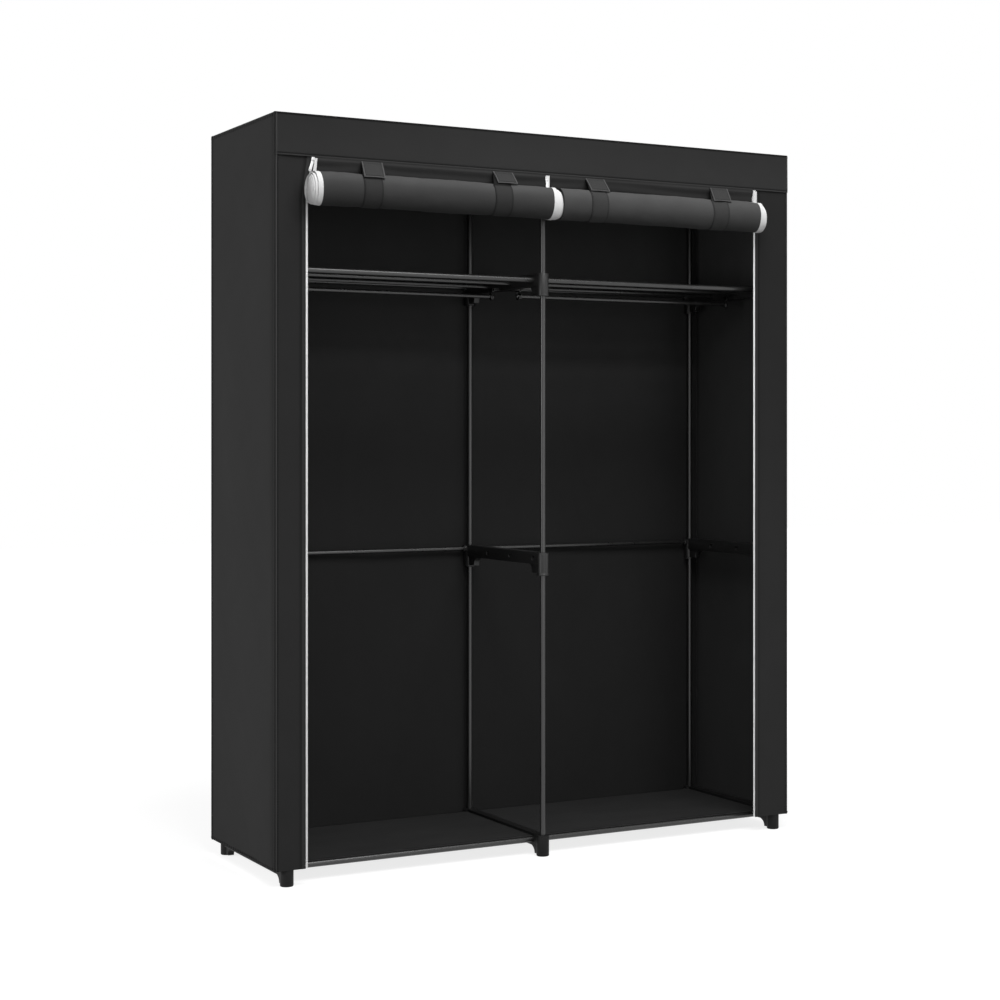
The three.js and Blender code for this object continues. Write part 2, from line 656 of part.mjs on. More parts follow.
// Bail on a slider's front plate: an arch that the pull's pin hangs in
function bailShape(face) {
  const front = face - BAIL.rise;
  const half = BAIL.slot / 2;
  const shape = new THREE.Shape();
  shape.moveTo(face + SLIDER.plate / 2, half + BAIL.wall);
  shape.lineTo(front + BAIL.wall, half + BAIL.wall);
  shape.lineTo(front, half);
  shape.lineTo(front, -half);
  shape.lineTo(front + BAIL.wall, -half - BAIL.wall);
  shape.lineTo(face + SLIDER.plate / 2, -half - BAIL.wall);
  shape.lineTo(face + SLIDER.plate / 2, -half);
  shape.lineTo(front + BAIL.wall, -half);
  shape.lineTo(front + BAIL.wall, half);
  shape.lineTo(face + SLIDER.plate / 2, half);
  shape.closePath();
  return shape;
}

// Zip slider: two plates, the neck between them on the door's side, and the bail
function sliderGeometry(side) {
  const inner = SLIDER.gap / 2;
  const plate = sliderPlateShape();
  const frontPlate = extrudeAlongY(plate, SLIDER.plate, -inner - SLIDER.plate, SLIDER.steps);
  const backPlate = extrudeAlongY(plate, SLIDER.plate, inner, SLIDER.steps);
  const neckEnd = side * (SLIDER.width / 2);
  const neckStart = neckEnd - side * SLIDER.neck;
  const halfNeck = SLIDER.height / 2 - SLIDER.shoulder;
  const overlap = SLIDER.plate / 2;
  const neck = boxBetween(
    [Math.min(neckStart, neckEnd), -inner - overlap, 0],
    [Math.max(neckStart, neckEnd), inner + overlap, halfNeck]);
  const bail = extrudeAlongX(bailShape(-inner - SLIDER.plate), BAIL.width, 0, 2);
  const body = toSolid(frontPlate).add(toSolid(backPlate)).add(toSolid(neck)).add(toSolid(bail));
  return toGeometry(body);
}

// Zip pull: a flat tab with a round pin across its window and a hole near its end
function pullGeometry() {
  const half = PULL.width / 2;
  const end = -PULL.length;
  const shape = new THREE.Shape();
  shape.moveTo(-half, 0);
  shape.lineTo(-half, end + half);
  shape.absarc(0, end + half, half, Math.PI, 2 * Math.PI, false);
  shape.lineTo(half, 0);
  shape.closePath();
  const window = new THREE.Path();
  const windowHalf = PULL.windowWidth / 2;
  window.moveTo(-windowHalf, -PULL.window);
  window.lineTo(windowHalf, -PULL.window);
  window.lineTo(windowHalf, -PULL.pin);
  window.lineTo(-windowHalf, -PULL.pin);
  window.closePath();
  shape.holes.push(window);
  shape.holes.push(new THREE.Path().absarc(0, end + half, PULL.hole, 0, 2 * Math.PI, true));
  const tab = extrudeAlongY(shape, PULL.thickness, -PULL.thickness / 2, PULL.sides);
  const pin = cylinderX(PULL.pin, PULL.sides, -half, half, 0, 0);
  return toGeometry(toSolid(tab).add(toSolid(pin)));
}

// Slider at the top of its zip, with its pull hanging from the bail
function addSlider(name, x, y, topGap, side, lean = 0) {
  const height = flapBottom - topGap - SLIDER.height / 2;
  const group = new THREE.Group();
  group.position.set(x + lean * ((height - leanFoot) / LEAN.height), y, height);
  group.rotation.y = Math.atan2(lean, LEAN.height);
  assembly.add(group);
  addPiece(`zip_slider_${name}`, sliderGeometry(side), LOOK.zip, group);
  const pull = addPiece(`zip_pull_${name}`, pullGeometry(), LOOK.zip, group);
  pull.position.y = -SLIDER.gap / 2 - SLIDER.plate - (BAIL.rise - BAIL.wall) / 2;
}

function addZips() {
  const leftChain = addChain('zip_chain_left', openingLeft, 1, LEAN.inwards);
  const rightChain = addChain('zip_chain_right', openingRight, -1, 0);
  const jawOffset = SLIDER.width / 2 - SLIDER.neck - FIT - CHAIN.width / 2;
  addSlider('left', leftChain - jawOffset, stripMiddleY, SLIDER.topGap, 1, LEAN.inwards);
  addSlider('right', rightChain + jawOffset, stripMiddleY, SLIDER.topGap, -1);
  const middle = leftDoorEnd + FIT + SLIDER.neck - SLIDER.width / 2;
  addSlider('middle', middle, tailMiddleY, MIDDLE_SLIDER.topGap, 1);
}

addBrackets();
addPosts();
addRails('left', columns.left, columns.middle);
addRails('right', columns.middle, columns.right);
addRod('left', columns.left, columns.middle, ROD.leftBehind);
addRod('right', columns.middle, columns.right, -ROD.rightAhead);
addCover();
addFloor('left', columns.left, columns.middle);
addFloor('right', columns.middle, columns.right);
addDoors();
addStrapTab('strap_tab_1', strapPlaces.outerLeft);
addStrapTab('strap_tab_2', strapPlaces.innerLeft);
addStrapTab('strap_tab_3', strapPlaces.innerRight);
addStrapTab('strap_tab_4', strapPlaces.outerRight);
addZips();

console.log(`least gap between door layers ${leastLayerGap().toFixed(2)} mm`);

// The origin is the middle of the bottom of the whole wardrobe, rolls included
const bounds = new THREE.Box3().setFromObject(assembly, true);
assembly.position.y = -(bounds.min.y + bounds.max.y) / 2;

export default wardrobe;
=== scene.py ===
"""Looks of a portable fabric wardrobe, dressed around its fixed frame.

Sizes are millimetres in the cover's own axes: X across, Y from front to back with the middle of the cover's
depth at zero, Z up from the floor. Pieces are made in the frame's metres.
"""

from __future__ import annotations

import logging
import math
from collections.abc import Mapping, Sequence
from dataclasses import dataclass
from enum import Enum

import bmesh
import bpy
import numpy as np
from mathutils import Matrix, Vector

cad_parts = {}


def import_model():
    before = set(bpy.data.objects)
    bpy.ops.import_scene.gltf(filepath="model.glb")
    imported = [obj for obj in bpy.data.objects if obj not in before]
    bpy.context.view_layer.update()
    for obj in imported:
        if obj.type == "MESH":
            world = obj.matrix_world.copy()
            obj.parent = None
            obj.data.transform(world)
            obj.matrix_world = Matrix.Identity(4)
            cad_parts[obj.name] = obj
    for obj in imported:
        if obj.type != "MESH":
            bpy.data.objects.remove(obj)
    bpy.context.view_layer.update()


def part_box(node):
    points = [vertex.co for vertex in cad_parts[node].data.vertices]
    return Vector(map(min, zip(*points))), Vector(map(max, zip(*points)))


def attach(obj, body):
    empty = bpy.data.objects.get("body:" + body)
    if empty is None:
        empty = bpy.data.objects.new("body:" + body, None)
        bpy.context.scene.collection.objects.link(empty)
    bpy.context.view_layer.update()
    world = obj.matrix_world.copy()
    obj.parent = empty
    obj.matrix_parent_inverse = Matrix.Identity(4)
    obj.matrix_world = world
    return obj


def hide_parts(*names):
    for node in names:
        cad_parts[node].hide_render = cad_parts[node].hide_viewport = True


LOG = logging.getLogger("wardrobe")
MILLI = 0.001
FULL_TURN = 2 * math.pi
SOFT_CREASE = 40.0
SHADE_RANGE = 4.0
Grey = float
Row = tuple[float, float, float]
Pair = tuple[float, float]
Array = np.ndarray
Numbers = Array | float
Object = bpy.types.Object
Material = bpy.types.Material


class Held(Enum):
    """How a sheet of cloth is held."""

    HUNG = "hung"
    STRETCHED = "stretched"
    FOLDED = "folded"
    LAID = "laid"


class Slot(Enum):
    """Material slots of the record."""

    COVER = "cover_cloth"
    LINING = "lining_cloth"
    DOOR = "door_cloth"
    STRAP = "strap_cloth"
    STEEL = "tube_steel"
    PLASTIC = "bracket_plastic"
    TEETH = "zip_teeth"
    ENAMEL = "zip_metal"


class Value:
    """A socket that Python's operators turn into Math nodes."""

    def __init__(self, tree: Tree, socket: bpy.types.NodeSocket) -> None:
        """Wraps one output socket of a tree."""
        self.tree = tree
        self.socket = socket

    def _math(self, operation: str, first: Term, second: Term = 0.0) -> Value:
        """Adds one Math node.

        Args:
            operation: The node's operation.
            first: Its first value.
            second: Its second value.

        Returns:
            The node's result.
        """
        node = self.tree.node("ShaderNodeMath", {"operation": operation}, {0: first, 1: second})
        return Value(self.tree, node.outputs[0])

    def __add__(self, other: Term) -> Value:
        """Sum."""
        return self._math("ADD", self, other)

    def __sub__(self, other: Term) -> Value:
        """Difference."""
        return self._math("SUBTRACT", self, other)

    def __rsub__(self, other: Term) -> Value:
        """Difference from a number."""
        return self._math("SUBTRACT", other, self)

    def __mul__(self, other: Term) -> Value:
        """Product."""
        return self._math("MULTIPLY", self, other)

    def __truediv__(self, other: Term) -> Value:
        """Quotient."""
        return self._math("DIVIDE", self, other)

    def __pow__(self, other: Term) -> Value:
        """Power."""
        return self._math("POWER", self, other)

    __radd__ = __add__

    def wave(self, length: float) -> Value:
        """Wave of some length along the value, from 0 to 1."""
        return self._math("SINE", self * (FULL_TURN / length)) * 0.5 + 0.5

    def largest(self, other: Term) -> Value:
        """The larger of two values."""
        return self._math("MAXIMUM", self, other)


Term = Value | bpy.types.NodeSocket | float


class Tree:
    """A node tree that is built in code."""

    def __init__(self, nodes: bpy.types.NodeTree) -> None:
        """Starts from an empty tree."""
        self.nodes = nodes
        nodes.nodes.clear()

    def node(
        self,
        kind: str,
        settings: Mapping[str, object] | None = None,
        inputs: Mapping[int | str, object] | None = None,
    ) -> bpy.types.Node:
        """Adds one node.

        Args:
            kind: The node's type.
            settings: Its properties, set first. The key "stops" holds a ramp's places and greys.
            inputs: Values or links of its sockets, by name or number.

        Returns:
            The node.
        """
        node = self.nodes.nodes.new(kind)
        for key, value in (settings or {}).items():
            if key == "stops":
                self._set_stops(node, value)
            else:
                setattr(node, key, value)
        for key, value in (inputs or {}).items():
            source = value.socket if isinstance(value, Value) else value
            if isinstance(source, bpy.types.NodeSocket):
                self.nodes.links.new(source, node.inputs[key])
            else:
                node.inputs[key].default_value = source
        return node

    @staticmethod
    def _set_stops(node: bpy.types.Node, stops: Sequence[tuple[float, Grey]]) -> None:
        """Writes a ramp's places and greys.

        Args:
            node: The ramp.
            stops: Place and grey of each stop, from left to right.
        """
        elements = node.color_ramp.elements
        while len(elements) < len(stops):
            elements.new(1.0)
        for element, (place, grey) in zip(elements, stops):
            element.position = place
            element.color = (grey, grey, grey, 1.0)


class Finish(Tree):
    """A material's node tree, with the textures that the finishes share."""

    def __init__(self, name: str) -> None:
        """Makes the material and its Object coordinates."""
        self.material = bpy.data.materials.new(name)
        self.material.use_nodes = True
        super().__init__(self.material.node_tree)
        self.place = self.node("ShaderNodeTexCoord").outputs["Object"]

    def noise(self, size: float, detail: float = 2.0, place: Term | None = None) -> Value:
        """Soft noise from 0 to 1.

        Args:
            size: Size of its blotches in millimetres.
            detail: Octaves of finer detail.
            place: Coordinates other than the object's.

        Returns:
            The noise.
        """
        node = self.node(
            "ShaderNodeTexNoise",
            inputs={"Vector": place or self.place, "Scale": 1 / (size * MILLI), "Detail": detail},
        )
        return Value(self, node.outputs["Factor" if "Factor" in node.outputs else "Fac"])

    def cells(self, size: float, scatter: float = 0.35) -> Value:
        """Distance to the nearest of evenly scattered points.

        Args:
            size: Spacing of the points in millimetres.
            scatter: How far the points stray from an even grid.

        Returns:
            The distance, from 0 at a point.
        """
        node = self.node(
            "ShaderNodeTexVoronoi",
            inputs={"Vector": self.place, "Scale": 1 / (size * MILLI), "Randomness": scatter},
        )
        return Value(self, node.outputs["Distance"])

    def lift(self) -> Value:
        """How much lighter each point of a sheet is, where 1 is twice as light: painted light and shade."""
        node = self.node("ShaderNodeAttribute", {"attribute_name": "lift"})
        return Value(self, node.outputs["Fac"])

    def stretched(self, across: Row) -> Term:
        """Object coordinates scaled by a factor on each axis."""
        inputs = {"Vector": self.place, "Scale": across}
        return self.node("ShaderNodeMapping", {"vector_type": "POINT"}, inputs).outputs[0]

    def axis(self, index: int) -> Value:
        """One of the object's coordinates, in millimetres."""
        node = self.node("ShaderNodeSeparateXYZ", inputs={0: self.place})
        return Value(self, node.outputs[index]) / MILLI

    def shade(self, tone: Grey, share: Value) -> Term:
        """A grey times a varying share near one.

        Args:
            tone: The grey where the share is one.
            share: How bright each place is, from 0 to SHADE_RANGE.

        Returns:
            The colour.
        """
        top = SHADE_RANGE * tone
        mixed = {0: share * (1 / SHADE_RANGE), 6: (0, 0, 0, 1), 7: (top, top, top, 1.0)}
        return self.node("ShaderNodeMix", {"data_type": "RGBA"}, mixed).outputs[2]

    def relief(self, height: Value, depth: float) -> Term:
        """Bump from a height between 0 and 1.

        Args:
            height: The height.
            depth: Its depth in millimetres.

        Returns:
            The normal.
        """
        inputs = {"Strength": 1.0, "Distance": depth * MILLI, "Height": height}
        return self.node("ShaderNodeBump", inputs=inputs).outputs[0]

    def surface(self, **sockets: object) -> Material:
        """Ends the tree in one Principled shader.

        Args:
            **sockets: The shader's sockets, with underscores for spaces.

        Returns:
            The material.
        """
        inputs = {name.replace("_", " "): value for name, value in sockets.items()}
        shader = self.node("ShaderNodeBsdfPrincipled", inputs=inputs)
        self.node("ShaderNodeOutputMaterial", inputs={0: shader.outputs[0]})
        return self.material


Recipe = tuple[Value, Value, Value, float]


@dataclass(frozen=True)
class Look:
    """A finish's name, its grey, and how rough and shiny it is."""

    name: str
    tone: Grey
    roughness: float = 0.5
    specular: float = 0.5

    def recipe(self, finish: Finish) -> Recipe:
        """Brightness, added roughness, relief and the relief's depth in millimetres."""
        raise NotImplementedError

    def material(self) -> Material:
        """Builds the material."""
        finish = Finish(self.name)
        share, rougher, height, depth = self.recipe(finish)
        return finish.surface(
            Base_Color=finish.shade(self.tone, share),
            Roughness=self.roughness + rougher,
            Specular_IOR_Level=self.specular,
            Normal=finish.relief(height, depth),
        )


@dataclass(frozen=True)
class ClothFinish(Look):
    """Non-woven cloth: short fibres pressed together, with a fine grid of bonded dimples."""

    roughness: float = 0.85
    specular: float = 0.06
    mottle: float = 0.16
    dimple: float = 1.7
    depth: float = 0.11

    def recipe(self, finish: Finish) -> Recipe:
        """Clouds, fibres and dimples."""
        fibres = finish.noise(0.7, 3.0)
        clouds = finish.noise(55.0, 3.0)
        rubbed = finish.noise(240.0, 2.0)
        dimples = finish.cells(self.dimple)
        share = 1.0 + (clouds - 0.5) * self.mottle + (rubbed - 0.5) * self.mottle + (fibres - 0.5) * 0.3
        # The sheet's painted light and shade scales the colour.
        share = (share - (0.35 - dimples).largest(0.0) * 0.5) * (1.0 + finish.lift())
        return share, (clouds - 0.5) * 0.1, dimples * 0.8 + fibres * 0.35, self.depth


@dataclass(frozen=True)
class WebbingFinish(Look):
    """Woven strap: ribs across, and a slightly shinier yarn than the cloth."""

    roughness: float = 0.74
    specular: float = 0.1
    rib: float = 1.6
    pick: float = 1.1

    def recipe(self, finish: Finish) -> Recipe:
        """Ribs, picks and fuzz."""
        ribs = finish.axis(0).wave(self.rib)
        picks = (finish.axis(1) + finish.axis(2)).wave(self.pick)
        fuzz = finish.noise(0.5, 2.0)
        # The sheet's painted light and shade scales the colour.
        share = (0.86 + ribs * 0.12 + picks * 0.08 + (fuzz - 0.5) * 0.25) * (1.0 + finish.lift())
        return share, (fuzz - 0.5) * 0.12, ribs * 0.6 + picks * 0.4, 0.2


@dataclass(frozen=True)
class SteelFinish(Look):
    """Black powder coat on steel tube: glossy, with a faint orange peel and dull scuffs."""

    roughness: float = 0.3
    specular: float = 0.62

    def recipe(self, finish: Finish) -> Recipe:
        """Orange peel and scuffs."""
        scuffs = finish.noise(9.0, 4.0, finish.stretched((1.0, 1.0, 0.12)))
        return 1.0 + (scuffs - 0.5) * 0.5, (scuffs - 0.5) * 0.16, finish.noise(1.1, 1.0), 0.0015


@dataclass(frozen=True)
class PlasticFinish(Look):
    """Black moulded plastic: satin, with a fine spark-eroded grain and faint flow marks."""

    roughness: float = 0.43
    specular: float = 0.38

    def recipe(self, finish: Finish) -> Recipe:
        """Grain and flow marks."""
        grain = finish.noise(0.35, 2.0)
        flow = finish.noise(14.0, 3.0, finish.stretched((1.0, 0.3, 1.0)))
        return 1.0 + (flow - 0.5) * 0.4 + (grain - 0.5) * 0.2, (flow - 0.5) * 0.12, grain, 0.03


@dataclass(frozen=True)
class TapeFinish(Look):
    """White zip tape: a tight weave whose ribs run along the tape's edge."""

    roughness: float = 0.72
    specular: float = 0.3
    rib: float = 1.3

    def recipe(self, finish: Finish) -> Recipe:
        """Ribs, yarn and a little dirt."""
        ribs = finish.axis(0).wave(self.rib)
        yarn = finish.noise(0.6, 2.0)
        share = 0.95 + ribs * 0.05 + (yarn - 0.5) * 0.07 - finish.noise(26.0, 3.0) * 0.05
        return share, (yarn - 0.5) * 0.1, ribs * 0.6 + yarn * 0.4, 0.14


@dataclass(frozen=True)
class EnamelFinish(Look):
    """White enamel or moulded zip teeth: smooth, with faint spots."""

    roughness: float = 0.34

    def recipe(self, finish: Finish) -> Recipe:
        """Faint spots on a smooth skin."""
        spots = finish.noise(2.4, 3.0)
        return 0.97 + (spots - 0.5) * 0.08, (spots - 0.5) * 0.14, finish.noise(0.5, 1.0), 0.02


@dataclass(frozen=True)
class Finishes:
    """Every material of the wardrobe."""

    cover: Material
    lining: Material
    piping: Material
    door: Material
    strap: Material
    thread: Material
    steel: Material
    plastic: Material
    foot: Material
    tape: Material
    teeth: Material
    enamel: Material

    @classmethod
    def made(cls) -> Finishes:
        """Builds each finish once."""
        return cls(
            cover=ClothFinish("cover_cloth", 0.0213).material(),
            lining=ClothFinish("lining_cloth", 0.0215).material(),
            # A lighter copy of the cover cloth: painted highlight along the piped corners and roof edges.
            piping=ClothFinish("lit_piping_cloth", 0.046).material(),
            door=ClothFinish("door_cloth", 0.040, mottle=0.3, roughness=0.78, specular=0.1).material(),
            strap=WebbingFinish("strap_webbing", 0.0265).material(),
            # Near-black thread: its own dark colour, and partly painted shade along the seams that it
            # follows.
            thread=WebbingFinish("sewing_thread", 0.003, rib=0.4).material(),
            steel=SteelFinish("steel_powder_coat", 0.011).material(),
            plastic=PlasticFinish("moulded_plastic", 0.009).material(),
            # A darker, less shiny copy of the bracket plastic for the feet: painted shade near the floor.
            foot=PlasticFinish("shaded_foot_plastic", 0.007, roughness=0.55, specular=0.16).material(),
            tape=TapeFinish("zip_tape", 0.60).material(),
            teeth=EnamelFinish("zip_teeth", 0.84, roughness=0.4).material(),
            enamel=EnamelFinish("zip_enamel", 0.82).material(),
        )


@dataclass(frozen=True)
class Axes:
    """Turns millimetres in the cover's own axes into metres in the frame."""

    depth_shift: float

    def metres(self, points: Array) -> Array:
        """Points in the frame's metres."""
        return (np.asarray(points, float) + np.array([0.0, self.depth_shift, 0.0])) * MILLI


@dataclass
class Form:
    """Points and faces in the cover's millimetres, before they become a piece."""

    points: Array
    faces: list[tuple[int, ...]]

    def moved(self, offset: Sequence[float]) -> Form:
        """The form, shifted."""
        return Form(self.points + np.array(offset, float), self.faces)

    def turned(self, angle: float, axis: str) -> Form:
        """The form, turned about one of the cover's axes.

        Args:
            angle: The angle in radians.
            axis: Name of the axis.

        Returns:
            The turned form.
        """
        turn = np.array(Matrix.Rotation(angle, 3, axis), float)
        return Form(self.points @ turn.T, self.faces)

    @staticmethod
    def joined(forms: Sequence[Form]) -> Form:
        """Several forms as one."""
        points, faces, start = [], [], 0
        for form in forms:
            points.append(form.points)
            faces.extend(tuple(corner + start for corner in face) for face in form.faces)
            start += len(form.points)
        return Form(np.vstack(points), faces)

    @staticmethod
    def lathe(profile: Sequence[Pair], sides: int, place: Row = (0.0, 0.0, 0.0)) -> Form:
        """A closed solid turned about a vertical axis.

        Args:
            profile: Radius and height pairs, from the bottom's middle to the top's middle.
            sides: Number of sides.
            place: Where the axis stands.

        Returns:
            The solid.
        """
        inner = [pair for pair in profile if pair[0] > 0]
        angles = np.arange(sides) * FULL_TURN / sides
        rings = [stacked(r * np.cos(angles), r * np.sin(angles), h) for r, h in inner]
        bottom, top = (0.0, 0.0, profile[0][1]), (0.0, 0.0, profile[-1][1])
        points = np.vstack([*rings, [bottom, top]]) + np.array(place)
        faces: list[tuple[int, ...]] = []
        for ring in range(len(inner) - 1):
            for side in range(sides):
                here, beside = ring * sides + side, ring * sides + (side + 1) % sides
                faces.append((here, beside, beside + sides, here + sides))
        last = (len(inner) - 1) * sides
        centre = len(inner) * sides
        for side in range(sides):
            beside = (side + 1) % sides
            faces.append((beside, side, centre))
            faces.append((last + side, last + beside, centre + 1))
        return Form(points, faces)

    @staticmethod
    def sheet(grid: Array, thickness: float) -> Form:
        """A thin closed solid on both sides of a grid of points.

        Args:
            grid: Points by row and column.
            thickness: Cloth thickness.

        Returns:
            The solid, with its outer side where rows cross columns by the right-hand rule.
        """
        rows, columns = grid.shape[:2]
        normal = np.cross(np.gradient(grid, axis=0), np.gradient(grid, axis=1))
        normal /= np.maximum(np.linalg.norm(normal, axis=2, keepdims=True), 1e-9)
        outer = (grid + normal * thickness / 2).reshape(-1, 3)
        inner = (grid - normal * thickness / 2).reshape(-1, 3)
        count = rows * columns
        faces: list[tuple[int, ...]] = []
        for row in range(rows - 1):
            for column in range(columns - 1):
                a = row * columns + column
                faces.append((a, a + columns, a + columns + 1, a + 1))
                faces.append((a + count + 1, a + count + columns + 1, a + count + columns, a + count))
        rim = list(range(columns))
        rim += [row * columns + columns - 1 for row in range(1, rows)]
        rim += [(rows - 1) * columns + column for column in range(columns - 2, -1, -1)]
        rim += [row * columns for row in range(rows - 2, 0, -1)]
        for here, beside in zip(rim, rim[1:] + rim[:1]):
            faces.append((here, beside, beside + count, here + count))
        return Form(np.vstack([outer, inner]), faces)


def placed(name: str, data: bpy.types.ID) -> Object:
    """Makes an object and links it to the scene.

    Args:
        name: The object's name.
        data: Its mesh, curve, camera or lamp.

    Returns:
        The object.
    """
    thing = bpy.data.objects.new(name, data)
    bpy.context.scene.collection.objects.link(thing)
    return thing


def evaluated(thing: Object) -> bpy.types.Mesh:
    """A new mesh of an object as its modifiers leave it."""
    graph = bpy.context.evaluated_depsgraph_get()
    return bpy.data.meshes.new_from_object(thing.evaluated_get(graph), depsgraph=graph)


class Workshop:
    def __init__(self, axes: Axes, finishes: Finishes) -> None:
        """Keeps the axes and the finishes that every piece uses."""
        self.axes = axes
        self.finishes = finishes

    def mesh(
        self, name: str, form: Form, material: Material, crease: float = SOFT_CREASE
    ) -> Object:
        """Makes a mesh object from a form.

        Args:
            name: The piece's name.
            form: Its points and faces.
            material: Its finish.
            crease: Edges that bend by more than this angle, in degrees, stay sharp.

        Returns:
            The object.
        """
        data = bpy.data.meshes.new(name)
        data.from_pydata(self.axes.metres(form.points).tolist(), [], form.faces)
        data.materials.append(material)
        self.smooth(data, crease)
        return placed(name, data)

    @staticmethod
    def smooth(data: bpy.types.Mesh, crease: float) -> None:
        """Smooths a mesh's shading apart from its sharp edges.

        Args:
            data: The mesh.
            crease: Smallest angle of a sharp edge, in degrees.
        """
        shape = bmesh.new()
        shape.from_mesh(data)
        limit = math.radians(crease)
        for face in shape.faces:
            face.smooth = True
        for edge in shape.edges:
            if len(edge.link_faces) == 2:
                edge.smooth = edge.calc_face_angle(0.0) < limit
        shape.to_mesh(data)
        shape.free()

    @staticmethod
    def finished(
        piece: Object, body: str, slot: Slot, nodes: Sequence[str] = ()
    ) -> Object:
        """Attaches a piece to its body, and hides the nodes that it stands for.

        Args:
            piece: The piece.
            body: The body that it rides on.
            slot: Its material slot; not used.
            nodes: Nodes that it replaces.

        Returns:
            The piece.
        """
        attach(piece, body)
        if nodes:
            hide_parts(*nodes)
        return piece

    def path(self, name: str, lines: Sequence[Array]) -> Object:
        """Makes a mesh of edges only, which a pattern follows.

        Args:
            name: The object's name.
            lines: Each line's points.

        Returns:
            The object.
        """
        points, edges, start = [], [], 0
        for line in lines:
            count = len(line)
            points.extend(self.axes.metres(line).tolist())
            edges.extend((start + step, start + step + 1) for step in range(count - 1))
            start += count
        data = bpy.data.meshes.new(name)
        data.from_pydata(points, edges, [])
        return placed(name, data)


class Pattern(Tree):
    """A Geometry Nodes tree that grows a plain mesh on a path."""

    def __init__(self, name: str, sizes: Mapping[str, float], whole: Sequence[str] = ()) -> None:
        """Makes the tree's sockets.

        Args:
            name: The tree's name.
            sizes: Default of each named size.
            whole: Names of the sizes that are whole numbers.
        """
        group = bpy.data.node_groups.new(name, "GeometryNodeTree")
        super().__init__(group)
        group.interface.new_socket("Geometry", in_out="OUTPUT", socket_type="NodeSocketGeometry")
        group.interface.new_socket("Geometry", in_out="INPUT", socket_type="NodeSocketGeometry")
        for size, value in sizes.items():
            kind = "NodeSocketInt" if size in whole else "NodeSocketFloat"
            group.interface.new_socket(size, in_out="INPUT", socket_type=kind).default_value = value
        group.interface.new_socket("Material", in_out="INPUT", socket_type="NodeSocketMaterial")
        self.source = self.node("NodeGroupInput")
        self.build()

    def build(self) -> None:
        """Adds the tree's own nodes, and ends in finish_with."""
        raise NotImplementedError

    def finish_with(self, geometry: bpy.types.NodeSocket) -> None:
        """Ends the tree in Realize Instances, smooth shading and Set Material."""
        real = self.node("GeometryNodeRealizeInstances", inputs={0: geometry})
        smooth = self.node("GeometryNodeSetShadeSmooth", inputs={"Geometry": real.outputs[0]})
        dressed = self.node(
            "GeometryNodeSetMaterial",
            inputs={"Geometry": smooth.outputs[0], "Material": self.source.outputs["Material"]},
        )
        self.node("NodeGroupOutput", inputs={0: dressed.outputs[0]})

    def grow(
        self, host: Object, name: str, material: Material, **sizes: float
    ) -> Object:
        """Grows the pattern on a path, and removes the path.

        Args:
            host: The path.
            name: The new piece's name.
            material: The new piece's finish.
            **sizes: The tree's named sizes, with lengths in metres.

        Returns:
            The grown piece, as a plain mesh.
        """
        modifier = host.modifiers.new(name, "NODES")
        modifier.node_group = self.nodes
        values: dict[str, object] = {**sizes, "Material": material}
        for item in self.nodes.interface.items_tree:
            if item.in_out == "INPUT" and item.name in values:
                modifier[item.identifier] = values[item.name]
        data = evaluated(host)
        host.modifiers.remove(modifier)
        bpy.data.objects.remove(host)
        data.name = name
        if not data.materials:
            data.materials.append(material)
        Workshop.smooth(data, SOFT_CREASE)
        return placed(name, data)


class TubePattern(Pattern):
    """A round tube or bead along a path, closed at its ends."""

    def __init__(self) -> None:
        """Names the tube's sizes."""
        super().__init__("tube_run", {"Radius": 0.005, "Sides": 28}, ["Sides"])

    def build(self) -> None:
        """Sweeps a circle along the path."""
        line = self.node("GeometryNodeMeshToCurve", inputs={"Mesh": self.source.outputs["Geometry"]})
        circle = self.node(
            "GeometryNodeCurvePrimitiveCircle",
            inputs={"Resolution": self.source.outputs["Sides"], "Radius": self.source.outputs["Radius"]},
        )
        swept = self.node(
            "GeometryNodeCurveToMesh",
            inputs={"Curve": line.outputs[0], "Profile Curve": circle.outputs[0], "Fill Caps": True},
        )
        self.finish_with(swept.outputs[0])


class RowPattern(Pattern):
    """A row of small rounded bars along a path, such as stitches or zip teeth."""

    def __init__(self) -> None:
        """Names the row's sizes."""
        sizes = {"Pitch": 0.004, "Along": 0.0015, "Across": 0.0004, "Rise": 0.0004, "Detail": 1}
        super().__init__("bar_row", sizes, ["Detail"])

    def build(self) -> None:
        """Sets a rounded bar at every pitch, with its length along the path."""
        line = self.node("GeometryNodeMeshToCurve", inputs={"Mesh": self.source.outputs["Geometry"]})
        spaced = self.node(
            "GeometryNodeResampleCurve",
            {"mode": "LENGTH"},
            {"Curve": line.outputs[0], "Length": self.source.outputs["Pitch"]},
        )
        ball = self.node(
            "GeometryNodeMeshIcoSphere", inputs={"Radius": 1.0, "Subdivisions": self.source.outputs["Detail"]}
        )
        axes = {index: self.source.outputs[size] for index, size in enumerate(("Along", "Rise", "Across"))}
        half = self.node("ShaderNodeCombineXYZ", inputs=axes)
        sized = {"Geometry": ball.outputs[0], "Scale": half.outputs[0]}
        bar = self.node("GeometryNodeTransform", inputs=sized)
        tangent = self.node("GeometryNodeInputTangent")
        along = {"Vector": tangent.outputs[0]}
        turn = self.node("FunctionNodeAlignRotationToVector", {"axis": "X"}, along)
        row = self.node(
            "GeometryNodeInstanceOnPoints",
            inputs={"Points": spaced.outputs[0], "Instance": bar.outputs[0], "Rotation": turn.outputs[0]},
        )
        self.finish_with(row.outputs[0])


